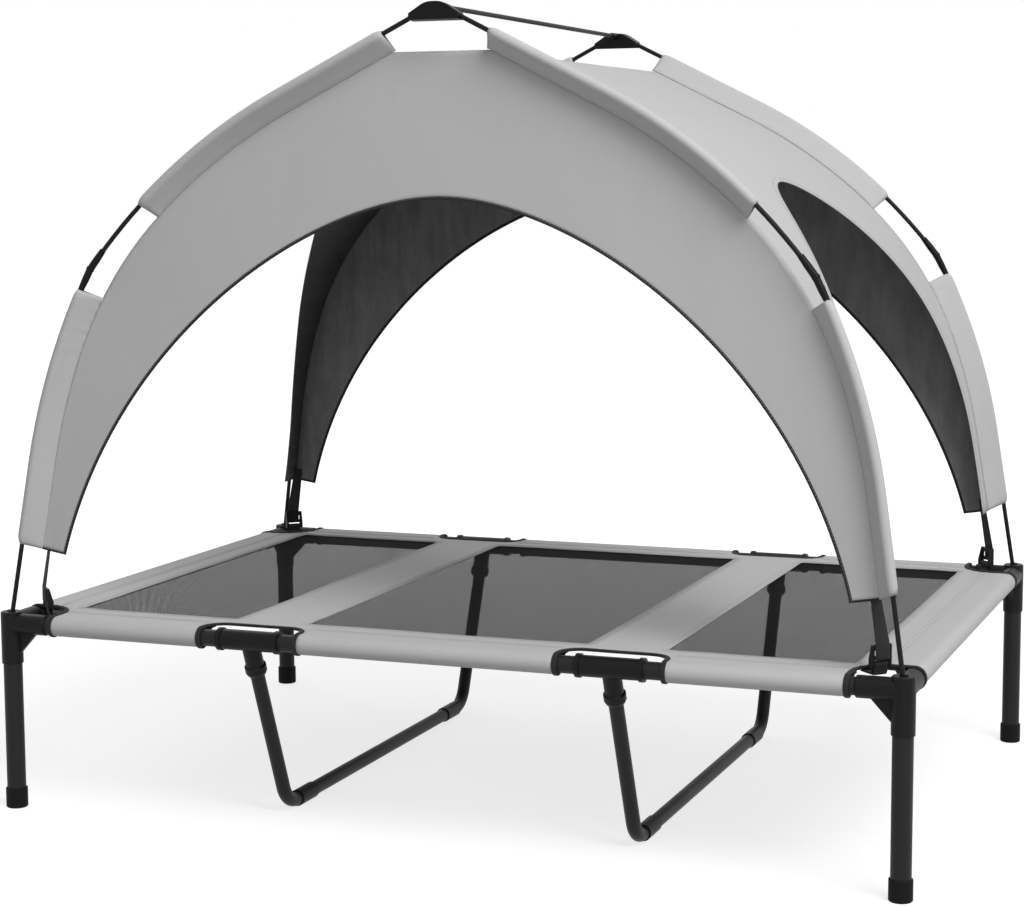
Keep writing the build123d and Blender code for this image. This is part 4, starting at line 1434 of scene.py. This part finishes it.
class DOGCOT_OT_canopy_roof(bpy.types.Operator):
    """Curved roof sheet with its side openings, hems and stitching."""
    bl_idname = "dog_cot.canopy_roof"
    bl_label = "Canopy roof"

    def execute(self, context):
        cut = CanopyCut()
        shape = Shape()
        hems = Shape()
        threads = Shape()
        for hand in (1, -1):
            for back in (False, True):
                quarter, rows = roof_quarter(cut, hand, back)
                shape.join(quarter)
                self.trim(cut, rows, hems, threads)
        cloth, lining = finish_named("canopy_cloth"), finish_named("dark_lining")
        roof = shape.piece("roof_cloth", "canopy", "canopy_fabric", [cloth, lining], ["canopy_roof"])
        thicken(roof, cut.sizes.cloth, -1.0)
        hem = hems.piece("roof_hems", "canopy", "canopy_fabric", [lining], solid=True)
        thread = threads.piece("roof_stitching", "canopy", "canopy_fabric", [finish_named("cloth_thread")])
        marks = [mark for face in shape.flat for mark in face]
        shape.flat_area()
        return {"FINISHED"}

    def trim(self, cut, rows, hems, threads):
        """Turned hem inside the opening's edge, and the rows of stitches outside."""
        edge = [row[-1] for row in rows]
        first = next(i for i, row in enumerate(cut.roof_rows()) if row[2] > 0.0)
        frames = []
        line = []
        ups = []
        for i in range(first, len(rows)):
            across = (rows[i][-2] - edge[i]).normalized()
            run = run_at(edge, i).normalized()
            out = run.cross(across).normalized()
            if out.x * edge[-1].x < 0:
                out = -out
            side = (across - run * across.dot(run)).normalized()
            frames.append((edge[i] - out * (cut.sizes.cloth * HEM_DEPTH), side, out))
            line.append(edge[i] + side * HEM_STITCH)
            ups.append(out)
        hems.sweep(frames, oval(HEM_WIDTH, cut.sizes.cloth, HEM_POINTS, -HEM_OUT))
        sew(threads, line, ups)
        sew(threads, [row[0] + (row[1] - row[0]).normalized() * SEAM_STITCH for row in rows],
            self.outward(rows))

    def outward(self, rows):
        """Directions out of the roof along its seam."""
        seam = [row[0] for row in rows]
        made = []
        for i, row in enumerate(rows):
            out = run_at(seam, i).cross(row[1] - row[0]).normalized()
            inside = Vector((0.0, row[0].y, INSIDE_HEIGHT))
            made.append(out if out.dot(row[0] - inside) > 0 else -out)
        return made


# How far the doorway's tape and the tips' tape stand out past the cloth, and how far out the latter starts
DOOR_TAPE_OUT = 0.0010
TIP_TAPE_OUT = 0.0006
TIP_TAPE_START = 0.0008
DOOR_TAPE_POINTS = 12
# Where the tape's stitches run, as a share of its width
TAPE_STITCH = 0.45


class DOGCOT_OT_canopy_panels(bpy.types.Operator):
    """Front and back panels with their doorways, bindings and stitching."""
    bl_idname = "dog_cot.canopy_panels"
    bl_label = "Canopy end panels"

    def execute(self, context):
        cut = CanopyCut()
        # The panels' inside takes the lining painted lighter, as painted light
        cloth, lining = finish_named("canopy_cloth"), finish_named("panel_lining")
        tape = Shape()
        tape_thread = Shape()
        for name, back in (("front", False), ("back", True)):
            shape = Shape()
            threads = Shape()
            outward = cut.arch.face_way()
            if back:
                outward.y = -outward.y
            for hand in (1, -1):
                rows = []
                marks = []
                for run in range(PANEL_RUN + 1):
                    made = [cut.panel_point(run, across, hand, back)
                            for across in spaced(0.0, 1.0, PANEL_COLUMNS)]
                    rows.append([point for point, flat in made])
                    marks.append([tuple(flat) for point, flat in made])
                shape.grid(rows, marks, outward)
                seam_row = [row[-1] + (row[-2] - row[-1]).normalized() * SEAM_STITCH for row in rows]
                sew(threads, seam_row, [outward] * len(seam_row))
                self.bind(cut, rows, outward, tape, tape_thread)
            panel = shape.piece(f"{name}_panel_cloth", "canopy", "canopy_fabric", [cloth, lining],
                                [f"canopy_{name}_panel"])
            thicken(panel, cut.sizes.cloth, 0.0)
            thread = threads.piece(f"{name}_panel_stitching", "canopy", "canopy_fabric",
                                   [finish_named("cloth_thread")])
            cut.band_size()
            shape.flat_area()
        tape.piece("doorway_tape", "canopy", "binding_tape", [finish_named("binding_tape")],
                   ["doorway_bindings"], solid=True)
        tape_thread.piece("doorway_tape_stitching", "canopy", "binding_tape", [finish_named("tape_thread")])
        return {"FINISHED"}

    def bind(self, cut, rows, outward, tape, threads):
        """Folded tape on the doorway's edge and on the hem of the tip."""
        sizes = cut.sizes
        section = oval(sizes.binding, sizes.binding_thickness, DOOR_TAPE_POINTS, -DOOR_TAPE_OUT)
        edge = [row[0] for row in rows]
        frames = []
        for i, point in enumerate(edge):
            run = run_at(edge, i).normalized()
            if i == 0:
                run = Vector((math.copysign(1.0, edge[-1].x), 0.0, 0.0))
            side = outward.cross(run)
            into_cloth = rows[i][1] - point
            frames.append((point, side if side.dot(into_cloth) > 0 else -side, outward))
        tape.sweep(frames, section)
        lift = outward * (sizes.binding_thickness / 2)
        sew(threads, [point + side * (sizes.binding * TAPE_STITCH) + lift for point, side, up in frames],
            [outward] * len(frames))
        hem = rows[-1]
        up = Vector((0.0, outward.z * -outward.y, outward.y * outward.y)).normalized()
        hem_section = oval(sizes.tip_binding, sizes.binding_thickness, DOOR_TAPE_POINTS, -TIP_TAPE_OUT)
        start = hem[0] - (hem[1] - hem[0]).normalized() * TIP_TAPE_START
        tape.sweep([(point, up, outward) for point in (start, *hem[1:])], hem_section)


class DOGCOT_OT_pole_sleeves(bpy.types.Operator):
    """Soft tubes that hold the poles to the canopy."""
    bl_idname = "dog_cot.pole_sleeves"
    bl_label = "Pole sleeves"

    def execute(self, context):
        arch = Arch()
        sizes = arch.sizes
        hem = arch.lower.at_height(arch.hem, sizes.seam) + sizes.sleeve_slant
        lower = (hem, arch.lower.length - sizes.lower_bare)
        upper = (arch.upper.length - sizes.upper_bare, arch.upper.at_x(sizes.crown + SLEEVE_CROWN_GAP))
        one = Shape()
        for pole, (start, end), slant in ((arch.lower, lower, sizes.sleeve_slant), (arch.upper, upper, 0.0)):
            one.sweep(*self.course(arch, pole, start, end, slant), caps=False)
        cloth, lining = finish_named("canopy_cloth"), finish_named("dark_lining")
        for name, along in (("front", 1), ("back", -1)):
            pair = Shape()
            for hand in (1, -1):
                pair.join(one.mirrored(hand, along))
            sleeves = pair.piece(f"{name}_sleeve_cloth", "canopy", "canopy_fabric", [cloth, lining],
                                 [f"pole_sleeves_{name}"], solid=True)
            thicken(sleeves, sizes.cloth, -1.0)
        return {"FINISHED"}

    def course(self, arch, pole, start, end, slant):
        """Frames along a pole and the sleeve's sections, drawn in at both ends and slanted at the hem."""
        sizes = arch.sizes
        inward = -arch.face_way()
        level = arch.place(Vector((0.0, 0.0)))
        frames = []
        sections = []
        for distance in spaced(start, end, SLEEVE_STEPS):
            point = pole.point(distance)
            from_start, from_end = abs(distance - start), abs(end - distance)
            lean = slant / sizes.seam * max(0.0, 1 - from_start / SLANT_FADE)
            leaned = pole.outward(distance) + pole.ahead(distance) * lean
            frames.append((arch.place(point), arch.place(leaned) - level, inward))
            inset = min((point - place).length for place in arch.seam)
            open_share = min(1.0, GATHERED_SHARE + min(from_start, from_end) / SLEEVE_GATHER)
            seam = Vector((SLEEVE_SEAM_LAP - inset, sizes.seam - SLEEVE_SEAM_LAP))
            sections.append(sleeve_section(POLE_RADIUS + sizes.sleeve * open_share, seam))
        return frames, sections


# Level directions along the front right corner's strap width, and in from that corner
CORNER_ACROSS = Vector((1.0, 1.0, 0.0)).normalized()
CORNER_INWARD = Vector((-1.0, 1.0, 0.0)).normalized()
STRAP_THICKNESS = 0.0013
STRAP_POINTS = 16
# Places in from the leg, along the corner's diagonal: strap, buckle's lower bar, and the tab's upper neck,
# lower neck, heel, and tail from start to end
STRAP_IN = 0.0443
BAR_IN = 0.0495
TAB_UPPER_NECK = 0.0530
TAB_LOWER_NECK = 0.0492
TAB_HEEL = 0.0500
TAB_TAIL = 0.060
TAB_TAIL_END = 0.0765
# Heights of the tab: its upper ply under the cover's top, the necks over that ply, the heel and the lower ply
# under it
TAB_UNDER = 0.0036
TAB_NECK_RISE = 0.0006
TAB_HEEL_DROP = 0.0013
TAB_PLY_DROP = 0.0014
BAR_RADIUS = 0.0020
BAR_CLEARANCE = 0.0003
# The loop goes round the bar between these angles
LOOP_START = math.radians(-50)
LOOP_END = math.radians(230)
LOOP_STEPS = 22
TAB_POINTS = 12
# Steps of the strap in the buckle, up to the hem and in the canopy's corner
BUCKLE_STEPS = 8
LEAN_STEPS = 14
SEWN_STEPS = 6


class DOGCOT_OT_straps(bpy.types.Operator):
    """Corner straps and the tabs that hold their buckles."""
    bl_idname = "dog_cot.straps"
    bl_label = "Straps and tabs"

    def execute(self, context):
        webbing = finish_named("strap_webbing")
        straps = self.strap().at_corners()
        straps.piece("strap_tapes", "canopy", "strap_webbing", [webbing], ["canopy_straps"], solid=True)
        tabs = self.tab().at_corners()
        tabs.piece("tab_tapes", "frame", "strap_webbing", [webbing], ["anchor_tabs"], solid=True)
        return {"FINISHED"}

    def corner(self, inward, height):
        """Point on the front right corner's diagonal, at a distance in from the leg."""
        return Vector((LEG_X, -LEG_Y, height)) + CORNER_INWARD * inward

    def strap(self):
        """Flat tape from the buckle up into the canopy's corner, where it is sewn, narrowing on its way."""
        sizes = settings().canopy
        arch = Arch()
        clear_of_corner = CORNER_INWARD * (sizes.strap_gather / 2 + sizes.cloth)
        sewn = [arch.place(arch.seam_at(arch.hem + rise), sizes.seam) + clear_of_corner
                for rise in spaced(0.0, sizes.strap_sewn, SEWN_STEPS)]
        path = [self.corner(STRAP_IN, height) for height in spaced(STRAP_BOTTOM, BUCKLE_TOP, BUCKLE_STEPS)]
        widths = [sizes.strap] * len(path)
        bend = path[-1]
        for way_up in spaced(0.0, 1.0, LEAN_STEPS)[1:]:
            path.append(bend.lerp(sewn[0], way_up))
            widths.append(sizes.strap + (sizes.strap_gather - sizes.strap) * way_up)
        path += sewn[1:]
        widths += [sizes.strap_gather] * (len(sewn) - 1)
        shape = Shape()
        shape.sweep([(point, CORNER_ACROSS, CORNER_INWARD) for point in path],
                    [oval(width, STRAP_THICKNESS, STRAP_POINTS, -width / 2) for width in widths])
        return shape

    def tab(self):
        """Webbing loop round the buckle's bar, with its tail sewn under the cover."""
        width = settings().canopy.strap
        ring = BAR_RADIUS + BAR_CLEARANCE + STRAP_THICKNESS / 2
        bar = Vector((BAR_IN, TAB_TOP - ring - STRAP_THICKNESS / 2))
        low = SHEET_TOP - TAB_UNDER
        line = [Vector((TAB_TAIL_END, low)), Vector((TAB_TAIL, low)),
                Vector((TAB_UPPER_NECK, low + TAB_NECK_RISE))]
        line += [bar + ring * compass(turn) for turn in spaced(LOOP_START, LOOP_END, LOOP_STEPS)]
        line += [Vector((TAB_LOWER_NECK, low + TAB_NECK_RISE)), Vector((TAB_HEEL, low - TAB_HEEL_DROP)),
                 Vector((TAB_TAIL, low - TAB_PLY_DROP)), Vector((TAB_TAIL_END, low - TAB_PLY_DROP))]
        frames = []
        for i, point in enumerate(line):
            run = run_at(line, i).normalized()
            frames.append((self.corner(*point), CORNER_ACROSS, UP * run.x - CORNER_INWARD * run.y))
        shape = Shape()
        shape.sweep(frames, oval(width, STRAP_THICKNESS, TAB_POINTS, -width / 2))
        return shape


class DOGCOT_PT_panel(bpy.types.Panel):
    """Buttons for each part of the cot and the values that they use."""
    bl_idname = "DOGCOT_PT_panel"
    bl_label = "Dog cot"
    bl_space_type = "VIEW_3D"
    bl_region_type = "UI"
    bl_category = "Dog cot"

    def draw(self, context):
        layout = self.layout
        for operator in OPERATORS:
            layout.operator(operator.bl_idname)
        for group in (settings().cover, settings().canopy, settings().finish, settings().stage):
            box = layout.box()
            for name in group.bl_rna.properties.keys():
                if name not in ("rna_type", "name"):
                    box.prop(group, name)


GROUPS = (DOGCOT_PG_cover, DOGCOT_PG_canopy, DOGCOT_PG_finish, DOGCOT_PG_stage, DOGCOT_PG_settings)
OPERATORS = (DOGCOT_OT_stage, DOGCOT_OT_hardware, DOGCOT_OT_cover, DOGCOT_OT_mesh_windows,
             DOGCOT_OT_canopy_roof, DOGCOT_OT_canopy_panels, DOGCOT_OT_pole_sleeves, DOGCOT_OT_straps)


def register():
    for made in (*GROUPS, *OPERATORS, DOGCOT_PT_panel):
        bpy.utils.register_class(made)
    bpy.types.Scene.dog_cot = PointerProperty(type=DOGCOT_PG_settings)


def unregister():
    del bpy.types.Scene.dog_cot
    for made in reversed((*GROUPS, *OPERATORS, DOGCOT_PT_panel)):
        bpy.utils.unregister_class(made)


def main():
    register()
    bpy.ops.dog_cot.stage()
    bpy.ops.dog_cot.hardware()
    bpy.ops.dog_cot.cover()
    bpy.ops.dog_cot.mesh_windows()
    bpy.ops.dog_cot.canopy_roof()
    bpy.ops.dog_cot.canopy_panels()
    bpy.ops.dog_cot.pole_sleeves()
    bpy.ops.dog_cot.straps()


if __name__ == "__main__":
    main()
